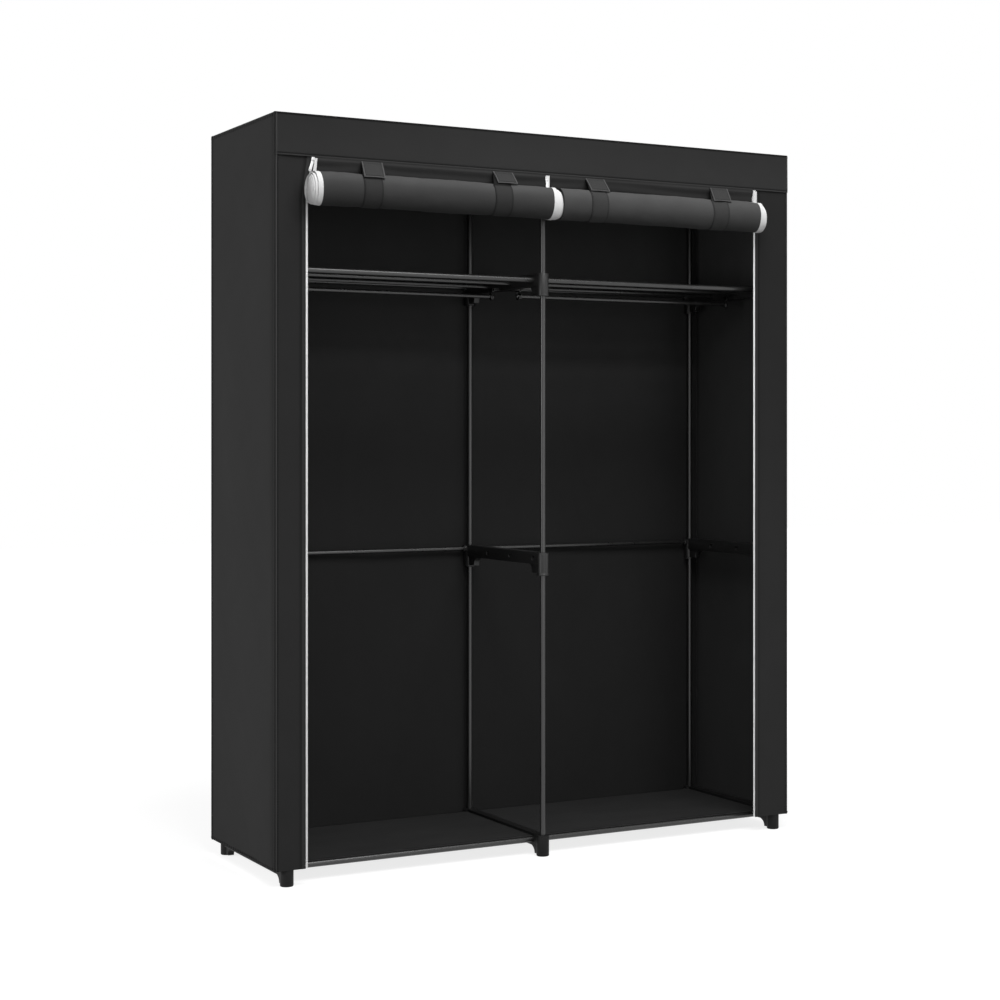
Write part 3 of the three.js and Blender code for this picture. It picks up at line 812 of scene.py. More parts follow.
@dataclass(frozen=True)
class Ripple:
    """Soft unevenness of hanging cloth, as a few crossing waves with fixed phases."""

    height: float
    length: float
    seed: int
    waves: int = 7

    def at(self, first: Array, second: Array) -> Array:
        """Height of the cloth over its flat shape.

        Args:
            first: Distances along the cloth.
            second: Distances across it.

        Returns:
            The heights.
        """
        draw = np.random.default_rng(self.seed)
        total = np.zeros_like(np.asarray(first, float) + np.asarray(second, float))
        for _ in range(self.waves):
            angle = draw.uniform(0, FULL_TURN)
            length = self.length * draw.uniform(0.6, 1.7)
            phase = draw.uniform(0, FULL_TURN)
            along = (first * math.cos(angle) + second * math.sin(angle)) * FULL_TURN / length
            total += np.sin(along + phase) * draw.uniform(0.5, 1.0)
        return total * self.height / math.sqrt(self.waves)


def smooth_step(value: Array, low: float, high: float) -> Array:
    """Rises smoothly from 0 at low to 1 at high."""
    share = np.clip((np.asarray(value, float) - low) / (high - low), 0.0, 1.0)
    return share * share * (3 - 2 * share)


def held_edges(share: Array, border: float) -> Array:
    """Falls to 0 at both ends of a span from 0 to 1."""
    return smooth_step(share, 0.0, border) * smooth_step(1.0 - share, 0.0, border)


def crossed(rows: Array, columns: Array) -> Sequence[Array]:
    """Both coordinates of a grid of points, by row and column."""
    return np.meshgrid(rows, columns, indexing="ij")


def stacked(x: Numbers, y: Numbers, z: Numbers) -> Array:
    """Points from their coordinates, each of which may be one number for all of them."""
    return np.stack(np.broadcast_arrays(x, y, z), -1)


def run_length(line: Array) -> float:
    """Length along a line of points."""
    return float(np.linalg.norm(np.diff(line, axis=0), axis=1).sum())


@dataclass(frozen=True)
class Layout:
    """Places that several sub-assemblies share."""

    half_width: float = 700.0
    front: float = -215.0
    back: float = 215.0
    roof: float = 1740.0
    hem: float = 38.0
    cloth: float = 1.4
    columns: Row = (-666.0, -10.5, 666.0)
    post_depth: float = 198.4
    base: float = 36.0
    middle: float = 718.0
    shelf: float = 1393.0
    top: float = 1723.3
    sockets: Row = (-167.4, -45.5, 76.4)
    back_rise: float = 6.0
    opening_left: float = -627.4
    opening_right: float = 599.4
    flap_bottom: float = 1647.0
    lean_from: float = 1555.0
    lean: float = 15.0
    column_touch: Pair = (14.0, 72.0)

    @property
    def names(self) -> tuple[tuple[str, float], ...]:
        """Name and place of each column."""
        return tuple(zip(("left", "middle", "right"), self.columns))

    @property
    def bays(self) -> tuple[tuple[str, float, float], ...]:
        """Name of each bay, with the columns on its left and right."""
        left, middle, right = self.columns
        return (("left", left, middle), ("right", middle, right))

    def clear_of_columns(self, x: Array) -> Array:
        """Falls to 0 where cloth lies against the brackets of a column.

        Args:
            x: Places across.

        Returns:
            The share of its free depth that the cloth has there.
        """
        away = np.min([np.abs(x - column) for column in self.columns], axis=0)
        return smooth_step(away, *self.column_touch)

    def lean_share(self, heights: Array) -> Array:
        """Rises from 0 where the opening's left edge starts to lean inwards to 1 at the flap."""
        return np.clip((heights - self.lean_from) / (self.flap_bottom - self.lean_from), 0, 1)


@dataclass
class SteelTubes:
    """Posts, rails and shelf tubes."""

    layout: Layout
    post_radius: float = 6.5
    wide_radius: float = 7.0
    slim_radius: float = 5.0
    post_span: Pair = (4.3, 1735.0)
    bar_end: float = 2.3
    back_end: float = 8.9
    sides: int = 30

    def build(self, shop: Workshop) -> None:
        """Makes one smooth tube for each steel node."""
        self.pattern = TubePattern()
        depth = self.layout.post_depth
        low, high = self.post_span
        for column, x in self.layout.names:
            for face, y in (("front", -depth), ("back", depth)):
                self._tube(shop, f"post_{face}_{column}", (x, y, low), (x, y, high), self.post_radius)
        for bay, left, right in self.layout.bays:
            for node, row, height in self._rails(bay):
                at_back = row == len(self.layout.sockets)
                inset = self.back_end if at_back else self.bar_end
                y = depth if at_back else self.layout.sockets[row]
                radius = self.wide_radius if row == 0 else self.slim_radius
                self._tube(shop, node, (left + inset, y, height), (right - inset, y, height), radius)
        LOG.info("steel tubes")

    def _rails(self, bay: str) -> list[tuple[str, int, float]]:
        """Node, socket row and height of each tube across a bay."""
        place = self.layout
        back = len(place.sockets)
        rails = [
            (f"base_rail_front_{bay}", 0, place.base),
            (f"base_rail_back_{bay}", back, place.base),
            (f"middle_rail_back_{bay}", back, place.middle + place.back_rise),
            (f"top_rail_front_{bay}", 0, place.top),
            (f"top_rail_back_{bay}", back, place.top + place.back_rise),
        ]
        rises = [0.0] * back + [place.back_rise]
        for row, rise in enumerate(rises):
            rails.append((f"shelf_tube_{bay}_{row + 1}", row, place.shelf + rise))
        return rails

    def _tube(self, shop: Workshop, node: str, start: Row, end: Row, radius: float) -> None:
        """Makes one tube.

        Args:
            shop: Maker of the pieces.
            node: The node that it stands for.
            start: One end of its axis.
            end: The other end.
            radius: Its outer radius.
        """
        line = np.linspace(start, end, 3)
        host = shop.path(f"{node}_path", [line])
        finish = shop.finishes.steel
        tube = self.pattern.grow(host, f"steel_{node}", finish, Radius=radius * MILLI, Sides=self.sides)
        shop.finished(tube, "frame", Slot.STEEL, [node])


@dataclass
class HangingRods:
    """Loose rods with a collar and a rounded nose at each end."""

    layout: Layout
    radius: float = 5.0
    end_gap: float = 20.0
    nose: float = 4.4
    collar_from: float = 10.3
    collar_to: float = 12.3
    collar_radius: float = 9.5
    collar_edge: float = 0.5
    height: float = 1364.0
    depths: Pair = (20.0, -20.0)
    sides: int = 32

    def build(self, shop: Workshop) -> None:
        """Turns each rod in one piece."""
        for (bay, left, right), depth in zip(self.layout.bays, self.depths):
            length = right - left - 2 * self.end_gap
            half = self._half_profile()
            profile = half + [(radius, length - along) for radius, along in reversed(half)]
            form = Form.lathe(profile, self.sides).turned(math.pi / 2, "Y")
            form = form.moved((left + self.end_gap, depth, self.height))
            rod = shop.mesh(f"steel_rod_{bay}", form, shop.finishes.steel)
            shop.finished(rod, f"rod_{bay}", Slot.STEEL, [f"hanging_rod_{bay}"])
        LOG.info("hanging rods")

    def _half_profile(self) -> list[Pair]:
        """Radius and distance pairs from the rod's tip to just behind its collar."""
        angles = [step * math.pi / 12 for step in range(7)]
        edge = self.collar_edge
        return [
            *((self.radius * math.sin(a), self.nose * (1 - math.cos(a))) for a in angles),
            (self.radius, self.collar_from - edge),
            (self.radius + edge, self.collar_from),
            (self.collar_radius - edge, self.collar_from),
            (self.collar_radius, self.collar_from + edge),
            (self.collar_radius, self.collar_to - edge),
            (self.collar_radius - edge, self.collar_to),
            (self.radius, self.collar_to),
        ]


@dataclass
class Plate:
    """A flat moulded or stamped plate with rounded edges."""

    outline: Sequence[Pair]
    thickness: float
    edge: float = 0.8
    holes: Sequence[Sequence[Pair]] = ()

    def form(self) -> Form:
        """The plate about the plane of its outline, with its thickness along Z."""
        curve = bpy.data.curves.new("outline", "CURVE")
        curve.dimensions = "2D"
        curve.fill_mode = "BOTH"
        curve.extrude = self.thickness / 2 - self.edge
        curve.bevel_depth = self.edge
        curve.bevel_resolution = 2
        curve.offset = -self.edge
        for loop in (self.outline, *self.holes):
            spline = curve.splines.new("POLY")
            spline.points.add(len(loop) - 1)
            for point, (across, up) in zip(spline.points, loop):
                point.co = (across, up, 0.0, 1.0)
            spline.use_cyclic_u = True
        thing = placed("outline", curve)
        data = evaluated(thing)
        shape = bmesh.new()
        shape.from_mesh(data)
        bmesh.ops.remove_doubles(shape, verts=shape.verts, dist=1e-4)
        bmesh.ops.recalc_face_normals(shape, faces=shape.faces)
        points = np.array([vertex.co[:] for vertex in shape.verts])
        faces = [tuple(vertex.index for vertex in face.verts) for face in shape.faces]
        shape.free()
        bpy.data.objects.remove(thing)
        bpy.data.meshes.remove(data)
        bpy.data.curves.remove(curve)
        return Form(points, faces)


def facing_side(form: Form, x: float) -> Form:
    """Stands a plate up so that its outline is in depth and height, about a place along X."""
    return Form(form.points[:, [2, 0, 1]] + np.array([x, 0.0, 0.0]), form.faces)


def facing_front(form: Form, y: float) -> Form:
    """Stands a plate up so that its outline is in width and height, about a depth."""
    return Form(stacked(form.points[:, 0], y - form.points[:, 2], form.points[:, 1]), form.faces)


def arc(centre: Pair, radius: float, start: float, end: float, steps: int) -> list[Pair]:
    """Points of an arc.

    Args:
        centre: Its centre.
        radius: Its radius.
        start: First angle in degrees.
        end: Last angle in degrees.
        steps: Number of segments.

    Returns:
        The points, ends included.
    """
    angles = np.radians(np.linspace(start, end, steps + 1))
    return [(centre[0] + radius * math.cos(a), centre[1] + radius * math.sin(a)) for a in angles]


@dataclass
class Brackets:
    """Moulded brackets: sleeves round the posts, a bar between them, a web, sockets, hooks and feet."""

    layout: Layout
    radius: float = 14.0
    lip: float = 0.8
    above: float = 14.0
    below: float = 41.0
    foot_radius: float = 15.4
    bar_height: float = 30.0
    bar_thickness: float = 22.0
    web_thickness: float = 16.0
    web_foot: float = 40.0
    base_web_foot: float = 28.0
    web_reach: float = 73.0
    socket_depth: float = 9.0
    socket_radii: Pair = (7.4, 5.4)
    socket_out: float = 3.0
    socket_flare: Pair = (1.2, 3.6)
    post_hole: Pair = (7.6, 7.0)
    rim_depth: float = 0.8
    foot_round: float = 2.5
    boss_edge: float = 1.0
    boss_hole: Pair = (5.6, 5.4)
    boss_hole_depth: float = 0.6
    boss_radius: float = 8.5
    boss_reach: float = 20.0
    hook_reach: float = 30.0
    hook_plate: float = 5.0
    hook_drop: float = 29.0
    hook_bore: float = 5.3
    hook_wall: float = 5.0
    hook_arm: float = 7.0
    hook_depths: Pair = (20.0, -20.0)

    def build(self, shop: Workshop) -> None:
        """Makes the twelve brackets."""
        place = self.layout
        facing = {"left": (1,), "middle": (-1, 1), "right": (-1,)}
        near, far = self.hook_depths
        hooks = {"left": ((1, near),), "middle": ((-1, near), (1, far)), "right": ((-1, far),)}
        levels = {"base": place.base, "middle": place.middle, "shelf": place.shelf, "top": place.top}
        for level, height in levels.items():
            for column, x in place.names:
                parts = [self._body(level, facing[column])]
                if level == "shelf":
                    parts += [self._hook(side, depth) for side, depth in hooks[column]]
                form = Form.joined(parts).moved((x, 0.0, height))
                # The base brackets take the shaded copy of the plastic.
                finish = shop.finishes.foot if level == "base" else shop.finishes.plastic
                piece = shop.mesh(f"bracket_{level}_{column}", form, finish, 32.0)
                shop.finished(piece, "frame", Slot.PLASTIC, [f"{level}_bracket_{column}"])
        LOG.info("brackets")

    def _body(self, level: str, sides: Sequence[int]) -> Form:
        """Bar, web, sleeves and bosses of one bracket, about its column and level."""
        depth = self.layout.post_depth
        profile = self._foot_profile() if level == "base" else self._sleeve_profile()
        sleeves = [Form.lathe(profile, 40, (0.0, y, 0.0)) for y in (-depth, depth)]
        low = 2.5 - self.layout.base if level == "base" else 5.0 - self.below
        foot = self.base_web_foot if level == "base" else self.web_foot
        web = facing_side(Plate(self._web_outline(low, foot), self.web_thickness, 1.4).form(), 0.0)
        bosses = []
        for side in sides:
            boss = Form.lathe(self._boss_profile(), 30).turned(side * math.pi / 2, "Y")
            rise = 0.0 if level == "base" else self.layout.back_rise
            bosses.append(boss.moved((0.0, depth, rise)))
        return Form.joined([self._bar(level, sides), web, *sleeves, *bosses])

    def _bar(self, level: str, sides: Sequence[int]) -> Form:
        """Rounded bar with its blind tube sockets."""
        depth, half = self.layout.post_depth, self.bar_height / 2
        outline = [(-depth, -half), (depth, -half), (depth, half), (-depth, half)]
        bar = facing_side(Plate(outline, self.bar_thickness, 1.8).form(), 0.0)
        reach = self.bar_thickness / 2 + self.socket_out
        end = self.bar_thickness / 2 - self.socket_depth
        wider, length = self.socket_flare
        holes = []
        for side in sides:
            for row, y in enumerate(self.layout.sockets):
                radius = self.socket_radii[0 if row == 0 and level != "middle" else 1]
                profile = [(0.0, end), (radius, end), (radius, reach - length)]
                profile += [(radius + wider, reach), (0.0, reach)]
                hole = Form.lathe(profile, 28).turned(side * math.pi / 2, "Y")
                holes.append(hole.moved((0.0, y, 0.0)))
        return self._cut(bar, Form.joined(holes))

    @staticmethod
    def _cut(body: Form, tool: Form) -> Form:
        """Cuts one form out of another."""
        things = []
        for name, form in (("body", body), ("tool", tool)):
            data = bpy.data.meshes.new(name)
            data.from_pydata(form.points.tolist(), [], form.faces)
            things.append(placed(name, data))
        cut = things[0].modifiers.new("cut", "BOOLEAN")
        cut.operation, cut.solver, cut.object = "DIFFERENCE", "EXACT", things[1]
        data = evaluated(things[0])
        points = np.array([vertex.co[:] for vertex in data.vertices])
        faces = [tuple(face.vertices) for face in data.polygons]
        for thing in things:
            bpy.data.objects.remove(thing)
        bpy.data.meshes.remove(data)
        return Form(points, faces)

    def _sleeve_profile(self) -> list[Pair]:
        """Sleeve with a slightly thicker lip at its lower end."""
        wide = self.radius + self.lip
        return [
            (0.0, -self.below),
            (wide - 0.8, -self.below),
            (wide, 0.8 - self.below),
            (wide, 3.6 - self.below),
            (self.radius, 4.8 - self.below),
            *self._upper_end(self.radius),
        ]

    def _upper_end(self, wide: float) -> list[Pair]:
        """Rounded upper end of a sleeve of some radius, closed just below its rim."""
        top, (rim, hole) = self.above, self.post_hole
        inner = top - self.rim_depth
        edge = [(wide, top - 1.2), (wide - 0.4, top - 0.4), (wide - 1.2, top)]
        return [*edge, (rim, top), (hole, inner), (0.0, inner)]

    def _foot_profile(self) -> list[Pair]:
        """Sleeve that is also the foot, with a rounded lower edge."""
        wide, bottom, soft = self.foot_radius, -self.layout.base, self.foot_round
        angles = (0.0, 0.5, 1.0, math.pi / 2)
        edge = [(wide - soft + soft * math.sin(a), bottom + soft - soft * math.cos(a)) for a in angles]
        return [(0.0, bottom), *edge, *self._upper_end(wide)]

    def _boss_profile(self) -> list[Pair]:
        """Short boss round the back tube."""
        reach, wide, edge = self.boss_reach, self.boss_radius, self.boss_edge
        (rim, hole), inner = self.boss_hole, reach - self.boss_hole_depth
        outside = [(0.0, 0.0), (wide, 0.0), (wide, reach - edge), (wide - edge, reach)]
        return [*outside, (rim, reach), (hole, inner), (0.0, inner)]

    def _web_outline(self, low: float, foot: float) -> list[Pair]:
        """Side view of the web, which curves down behind each sleeve."""
        depth, under = self.layout.post_depth, -self.bar_height / 2 + 2.0
        bend = []
        for share in np.linspace(0.0, 1.0, 13):
            along = foot + (self.web_reach - foot) * share**2
            bend.append((along, low + (under - low) * (1 - (1 - share) ** 2)))
        front = [(-depth + along, height) for along, height in bend]
        back = [(depth - along, height) for along, height in reversed(bend)]
        return [(-depth, 0.0), (-depth, low), *front, *back, (depth, low), (depth, 0.0)]

    def _hook(self, side: int, depth: float) -> Form:
        """Hook plate below the bar, on an arm that reaches over the rod's end."""
        bore, outer = self.hook_bore, self.hook_bore + self.hook_wall
        top = -self.bar_height / 2 + self.hook_arm
        mouth = bore + self.hook_wall - self.hook_drop
        middle = (depth, -self.hook_drop)
        outline = [(depth + outer, top), *arc(middle, outer, 0, -180, 16), *arc(middle, bore, -180, 0, 14)]
        outline += [(depth + bore, mouth), (depth - outer, mouth), (depth - outer, top)]
        low = -self.bar_height / 2
        arm = [(depth - outer, low), (depth + outer, low), (depth + outer, top), (depth - outer, top)]
        plate_middle = side * (self.hook_reach - self.hook_plate / 2)
        plate = facing_side(Plate(outline, self.hook_plate, 0.7).form(), plate_middle)
        arm_plate = facing_side(Plate(arm, self.hook_reach, 0.9).form(), side * self.hook_reach / 2)
        return Form.joined([plate, arm_plate])


@dataclass(frozen=True)
class Cut:
    """How a sheet of cloth was cut, and what holds it."""

    width: float
    length: float
    held: Held
    rests_on: tuple[str, ...]
    shown: float | None = None


HUNG_FROM_ROOF = (Held.HUNG, ("cloth_roof",))


def spaced(low: float, high: float, step: float, extra: Sequence[float] = ()) -> Array:
    """Even places from low to high with some added.

    Args:
        low: First place.
        high: Last place.
        step: Largest distance between the even places.
        extra: Places that are added, such as the two sides of a seam.

    Returns:
        The places in order.
    """
    even = np.linspace(low, high, max(2, math.ceil((high - low) / step) + 1))
    inside = [place for place in extra if low < place < high]
    kept = [place for place in even if all(abs(place - other) > 0.3 for other in inside)]
    return np.array(sorted({*kept, *inside}))


@dataclass
class Cloth:
    """Makes sheets of cloth."""

    shop: Workshop
    thickness: float = 1.2

    def sheet(
        self,
        name: str,
        grid: Array,
        material: Material,
        slot: Slot,
        cut: Cut,
        nodes: Sequence[str] = (),
        lift: Array | None = None,
        body: str = "frame",
        thickness: float | None = None,
        behind: Array | None = None,
    ) -> Object:
        """Makes one sheet.

        Args:
            name: The sheet's name.
            grid: Its points by row and column.
            material: Its finish.
            slot: Its material slot.
            cut: Its flat size and what holds it.
            nodes: Nodes that it replaces.
            lift: How much lighter each point is, where 1 is twice as light: painted light and shade.
            body: The body that it rides on.
            thickness: Its thickness, where it isn't the usual one.
            behind: How much lighter its other side is, where that isn't the same: painted light and shade on
                that side.

        Returns:
            The sheet.
        """
        piece = self.shop.mesh(name, Form.sheet(grid, thickness or self.thickness), material, 50.0)
        if lift is not None:
            # Painted light and shade, stored on both faces of the sheet.
            shade = piece.data.attributes.new("lift", "FLOAT", "POINT")
            both = np.stack([lift, lift if behind is None else behind])
            shade.data.foreach_set("value", both.astype(np.float32).ravel())
        self.shop.finished(piece, body, slot, nodes)
        flat = (cut.width * MILLI, cut.length * MILLI)
        area = None if cut.shown is None else cut.shown * MILLI**2
        return piece


@dataclass(frozen=True)
class Stitch:
    """Spacing and half sizes of one kind of stitch."""

    pitch: float = 4.2
    along: float = 1.5
    across: float = 0.45
    rise: float = 0.45


# The side and hem stitches are oversized so that their dark thread also paints the shade along those seams.
SIDE_STITCH = Stitch(pitch=6.0, along=2.9, across=1.1, rise=4.9)
FRONT_STITCH = Stitch(pitch=6.0, along=1.9, across=1.5, rise=0.6)
HEM_STITCH = Stitch(pitch=15.0, along=6.4, across=3.6, rise=1.1)
TOOTH = Stitch(pitch=2.0, along=0.8, across=1.9, rise=0.7)


@dataclass
class Seams:
    """Rows of stitches and piped edges."""

    shop: Workshop

    def __post_init__(self) -> None:
        """Builds the two patterns once."""
        self.row = RowPattern()
        self.bead = TubePattern()

    def stitches(
        self,
        name: str,
        lines: Sequence[Array],
        slot: Slot,
        body: str = "frame",
        stitch: Stitch = Stitch(),
        finish: Material | None = None,
    ) -> None:
        """Sews rows of stitches, or sets rows of zip teeth.

        Args:
            name: The piece's name.
            lines: The rows.
            slot: Their material slot.
            body: The body that they ride on.
            stitch: Their spacing and size.
            finish: Their finish, where it isn't thread.
        """
        host = self.shop.path(f"{name}_path", lines)
        piece = self.row.grow(
            host,
            name,
            finish or self.shop.finishes.thread,
            Pitch=stitch.pitch * MILLI,
            Along=stitch.along * MILLI,
            Across=stitch.across * MILLI,
            Rise=stitch.rise * MILLI,
        )
        self.shop.finished(piece, body, slot)

    def piping(
        self, name: str, lines: Sequence[Array], radius: float, slot: Slot, finish: Material
    ) -> None:
        """Lays a thin covered cord along edges.

        Args:
            name: The piece's name.
            lines: The edges.
            radius: The cord's radius.
            slot: Its material slot.
            finish: Its finish.
        """
        host = self.shop.path(f"{name}_path", lines)
        piece = self.bead.grow(host, name, finish, Radius=radius * MILLI, Sides=8)
        self.shop.finished(piece, "frame", slot)


@dataclass
class Cover:
    """Sewn cover: roof, back, two sides, and a front with a flap over its open doorway."""

    layout: Layout
    grid_step: float = 18.0
    seam_inset: float = 15.0
    seam_width: float = 1.6
    hem_width: float = 8.0
    inset: float = 0.7
    flap_bulge: float = 1.9
    flap_hem: float = 2.8
    flap_seam: float = 4.2
    corner_piping: float = 1.25
    roof_piping: Pair = (1.1, 1.3)
    corner_inset: Pair = (0.6, 3.1)
    side_rows: Pair = (5.0, 6.0)
    front_row: float = 6.6
    hem_rows: Pair = (4.5, 6.0)

    def build(self, shop: Workshop, seams: Seams) -> None:
        """Makes every panel and its seams."""
        self.cloth = Cloth(shop)
        self._roof()
        self._back()
        for side, name in ((-1, "left"), (1, "right")):
            self._side(side, name)
        self._strips()
        self._flap(seams)
        self._sew(seams)
        LOG.info("cover")

    @property
    def _top(self) -> float:
        """Height of the panels' upper edge, just under the roof."""
        return self.layout.roof - self.layout.cloth - 0.3

    def _heights(self, marks: Sequence[float] = ()) -> Array:
        """Places from the hem to the panels' upper edge, with some added."""
        return spaced(self.layout.hem, self._top, self.grid_step, marks)

    def _roof(self) -> None:
        """Top panel, which sags a little between the rails."""
        place = self.layout
        half = place.half_width - self.inset
        along = spaced(place.front, place.back, self.grid_step)
        x, y = crossed(spaced(-half, half, self.grid_step), along)
        sag = held_edges((y - place.front) / (place.back - place.front), 0.3)
        waves = Ripple(1.0, 260.0, 3).at(x, y)
        sag *= place.clear_of_columns(x)
        grid = stacked(x, y, place.roof - self.inset - sag * (1.2 - waves * 0.6))
        cut = Cut(2 * place.half_width, place.back - place.front, Held.STRETCHED, ("cover_roof",))
        self.cloth.sheet("cloth_roof", grid, self.cloth.shop.finishes.cover, Slot.COVER, cut, ["cover_roof"])

    def _back(self) -> None:
        """Back panel, which hangs with long shallow waves."""
        place = self.layout
        half = place.half_width - 1.0
        x, z = crossed(spaced(-half, half, self.grid_step), self._heights())
        held = held_edges((x + half) / (2 * half), 0.06) * smooth_step(self._top - z, 0.0, 160.0)
        held *= place.clear_of_columns(x)
        waves = Ripple(2.2, 420.0, 11).at(x, z * 0.35) + Ripple(0.8, 120.0, 12).at(x, z * 0.3)
        grid = stacked(x, place.back - self.inset - held * (2.0 + waves), z)
        # Painted light on one face of the back: darker low down, lighter above the middle rail and the shelf,
        # more so on the right; the other face stays plain.
        lift = -0.16 + 0.8 * smooth_step(z, 950.0, 1280.0) + 0.2 * smooth_step(z, 1370.0, 1480.0)
        painted_light_right = 0.2 * smooth_step(z, 1000.0, 1200.0) + 0.32 * smooth_step(z, 1370.0, 1480.0)
        lift += smooth_step(x, -100.0, 500.0) * painted_light_right
        cut = Cut(2 * place.half_width, self._top - place.hem, *HUNG_FROM_ROOF)
        finish, plain = self.cloth.shop.finishes.lining, np.zeros_like(lift)
        self.cloth.sheet("cloth_back", grid, finish, Slot.COVER, cut, ["cover_back"], lift, behind=plain)

    def _side(self, side: int, name: str) -> None:
        """Side panel.

        Args:
            side: −1 on the left and 1 on the right.
            name: Name of the side.
        """
        place = self.layout
        low, high = place.front + 0.3, place.back - 0.3
        seam = self.seam_inset
        marks = [low + 3.0, low + 4.0, low + seam - 1.6, low + seam, low + seam + 1.6]
        marks += [high - 9.0, high - 8.0, high - 3.0]
        hems = [place.hem + rise for rise in (5.4, 6.4, 7.5, 8.5, 9.5)]
        y, z = crossed(spaced(low, high, self.grid_step, marks), self._heights(hems))
        held = held_edges((y - low) / (high - low), 0.12) * smooth_step(self._top - z, 0.0, 90.0)
        waves = Ripple(1.6, 380.0, 21 + side).at(y, z * 0.4) + Ripple(0.35, 70.0, 31 + side).at(y, z)
        x = side * (place.half_width - self.inset) + held * (waves + side * 0.4)
        groove = np.abs(y - low - seam) < self.seam_width
        # Painted shade along the back edge and below the hem, with a painted highlight on the hem's fold.
        edge = (y > high - 9.2) * -0.3
        hem = np.where(z < place.hem + 6.0, -0.4, 0.0) + (np.abs(z - place.hem - 8.5) < 1.0) * 0.15
        grid = stacked(x - side * groove * 0.5, y, z)
        cut = Cut(place.back - place.front, self._top - place.hem, *HUNG_FROM_ROOF)
        # Painted light: the outside darker in the seam groove and towards the top; the inside lighter, much
        # more so above the middle rail and the shelf.
        outside = edge + hem - groove * 0.25 + 0.15 - 0.15 * smooth_step(z, 100.0, 1200.0)
        inside = 0.5 + 0.4 * smooth_step(z, 850.0, 1250.0) + 1.9 * smooth_step(z, 1380.0, 1500.0)
        lift, behind = (outside, inside) if side > 0 else (inside, outside)
        finish, nodes = self.cloth.shop.finishes.cover, [f"cover_side_{name}"]
        self.cloth.sheet(f"cloth_side_{name}", grid, finish, Slot.COVER, cut, nodes, lift, behind=behind)

    def _edge(self, side: int, z: Array) -> Array:
        """Where the cloth ends beside the opening.

        Args:
            side: −1 on the left and 1 on the right.
            z: Heights.

        Returns:
            Places across.
        """
        place = self.layout
        if side > 0:
            return np.full_like(z, place.opening_right)
        return place.opening_left + place.lean * place.lean_share(z)

    def _strips(self) -> None:
        """Two strips beside the opening, with a folded hem at the zip, and the header above."""
        place, finish = self.layout, self.cloth.shop.finishes.cover
        outer = place.half_width - self.inset
        for side, name in ((-1, "left"), (1, "right")):
            hem = self.hem_width
            width = abs(side * outer - (place.opening_left if side < 0 else place.opening_right))
            marks = [hem - 0.6, hem, hem + 1.4, hem + 2.0, width - 4.0, width - 3.0]
            inner, z = crossed(spaced(0.0, width, self.grid_step, marks), self._heights())
            edge = self._edge(side, z)
            x = edge + (side * outer - edge) * inner / width
            waves = Ripple(1.0, 300.0, 41 + side).at(inner * 2, z * 0.5) * held_edges(inner / width, 0.2)
            waves *= smooth_step(z, 50.0, 160.0)
            folded = inner < hem + 0.1
            grid = stacked(x, place.front + self.inset - folded * 0.7 - waves * 0.7, z)
            if side > 0:
                grid = grid[::-1]
                inner = inner[::-1]
            # Painted light: a painted highlight on the folded hem, a painted shade line beside it, and darker
            # towards the top.
            lift = (inner < hem + 0.1) * 0.34 - (np.abs(inner - hem - 1.4) < 0.8) * 0.4
            lift += 0.265 + 0.065 * side - (0.43 + 0.13 * side) * smooth_step(z, 300.0, 1500.0)
            cut = Cut(width, self._top - place.hem, *HUNG_FROM_ROOF)
            nodes = ["cover_front_frame"] if side < 0 else []
            self.cloth.sheet(f"cloth_strip_{name}", grid, finish, Slot.COVER, cut, nodes, lift)
        x, z = crossed(
            spaced(float(self._edge(-1, np.array(self._top))), place.opening_right, self.grid_step),
            spaced(place.flap_bottom, self._top, self.grid_step),
        )
        grid = stacked(x, place.front + self.inset, z)
        width, height = place.opening_right - place.opening_left, self._top - place.flap_bottom
        cut = Cut(width, height, *HUNG_FROM_ROOF)
        self.cloth.sheet("cloth_header", grid, finish, Slot.COVER, cut)

    def _flap(self, seams: Seams) -> None:
        """Valance over the top of the doorway, a little fuller at its hem."""
        place = self.layout
        half = place.half_width - 0.4
        low, high = place.flap_bottom - self.flap_hem, place.roof - 1.6
        marks = [low + rise for rise in (0.6, 2.4, 3.2, 5.2, 6.0, 12.0)] + [high - 4.2, high - 3.4]
        x, z = crossed(spaced(-half, half, 14.0), spaced(low, high, 9.0, marks))
        fall = (high - z) / (high - low)
        waves = Ripple(1.0, 210.0, 51).at(x, z * 0.6) + Ripple(0.4, 60.0, 52).at(x, z)
        bulge = self.flap_bulge * fall**1.6 + waves * fall * 0.2
        corner = held_edges((x + half) / (2 * half), 0.03)
        y = place.front - 1.1 - bulge * (0.35 + 0.65 * corner)
        groove = np.abs(z - low - self.flap_seam) < 1.1
        grid = stacked(x, y + groove * 0.5, z)
        # Painted light: lighter towards the fuller hem with a painted highlight on its folded edge; painted
        # shade on the left, in the seam groove and just under the roof.
        lift = fall * 0.14 - 0.1 * smooth_step(-x, 100.0, 600.0) - groove * 0.45
        lift += (z < low + 2.6) * 0.2 - (z > high - 3.6) * 0.6
        cut = Cut(2 * place.half_width, high - low, *HUNG_FROM_ROOF)
        finish = self.cloth.shop.finishes.cover
        self.cloth.sheet("cloth_flap", grid, finish, Slot.COVER, cut, ["cover_front_flap"], lift)
        out = place.front - 1.9 - self.flap_bulge * 0.85
        line = stacked(spaced(-half + 4, half - 4, 40), out, low + self.flap_seam)
        seams.stitches("stitches_flap", [line], Slot.COVER)

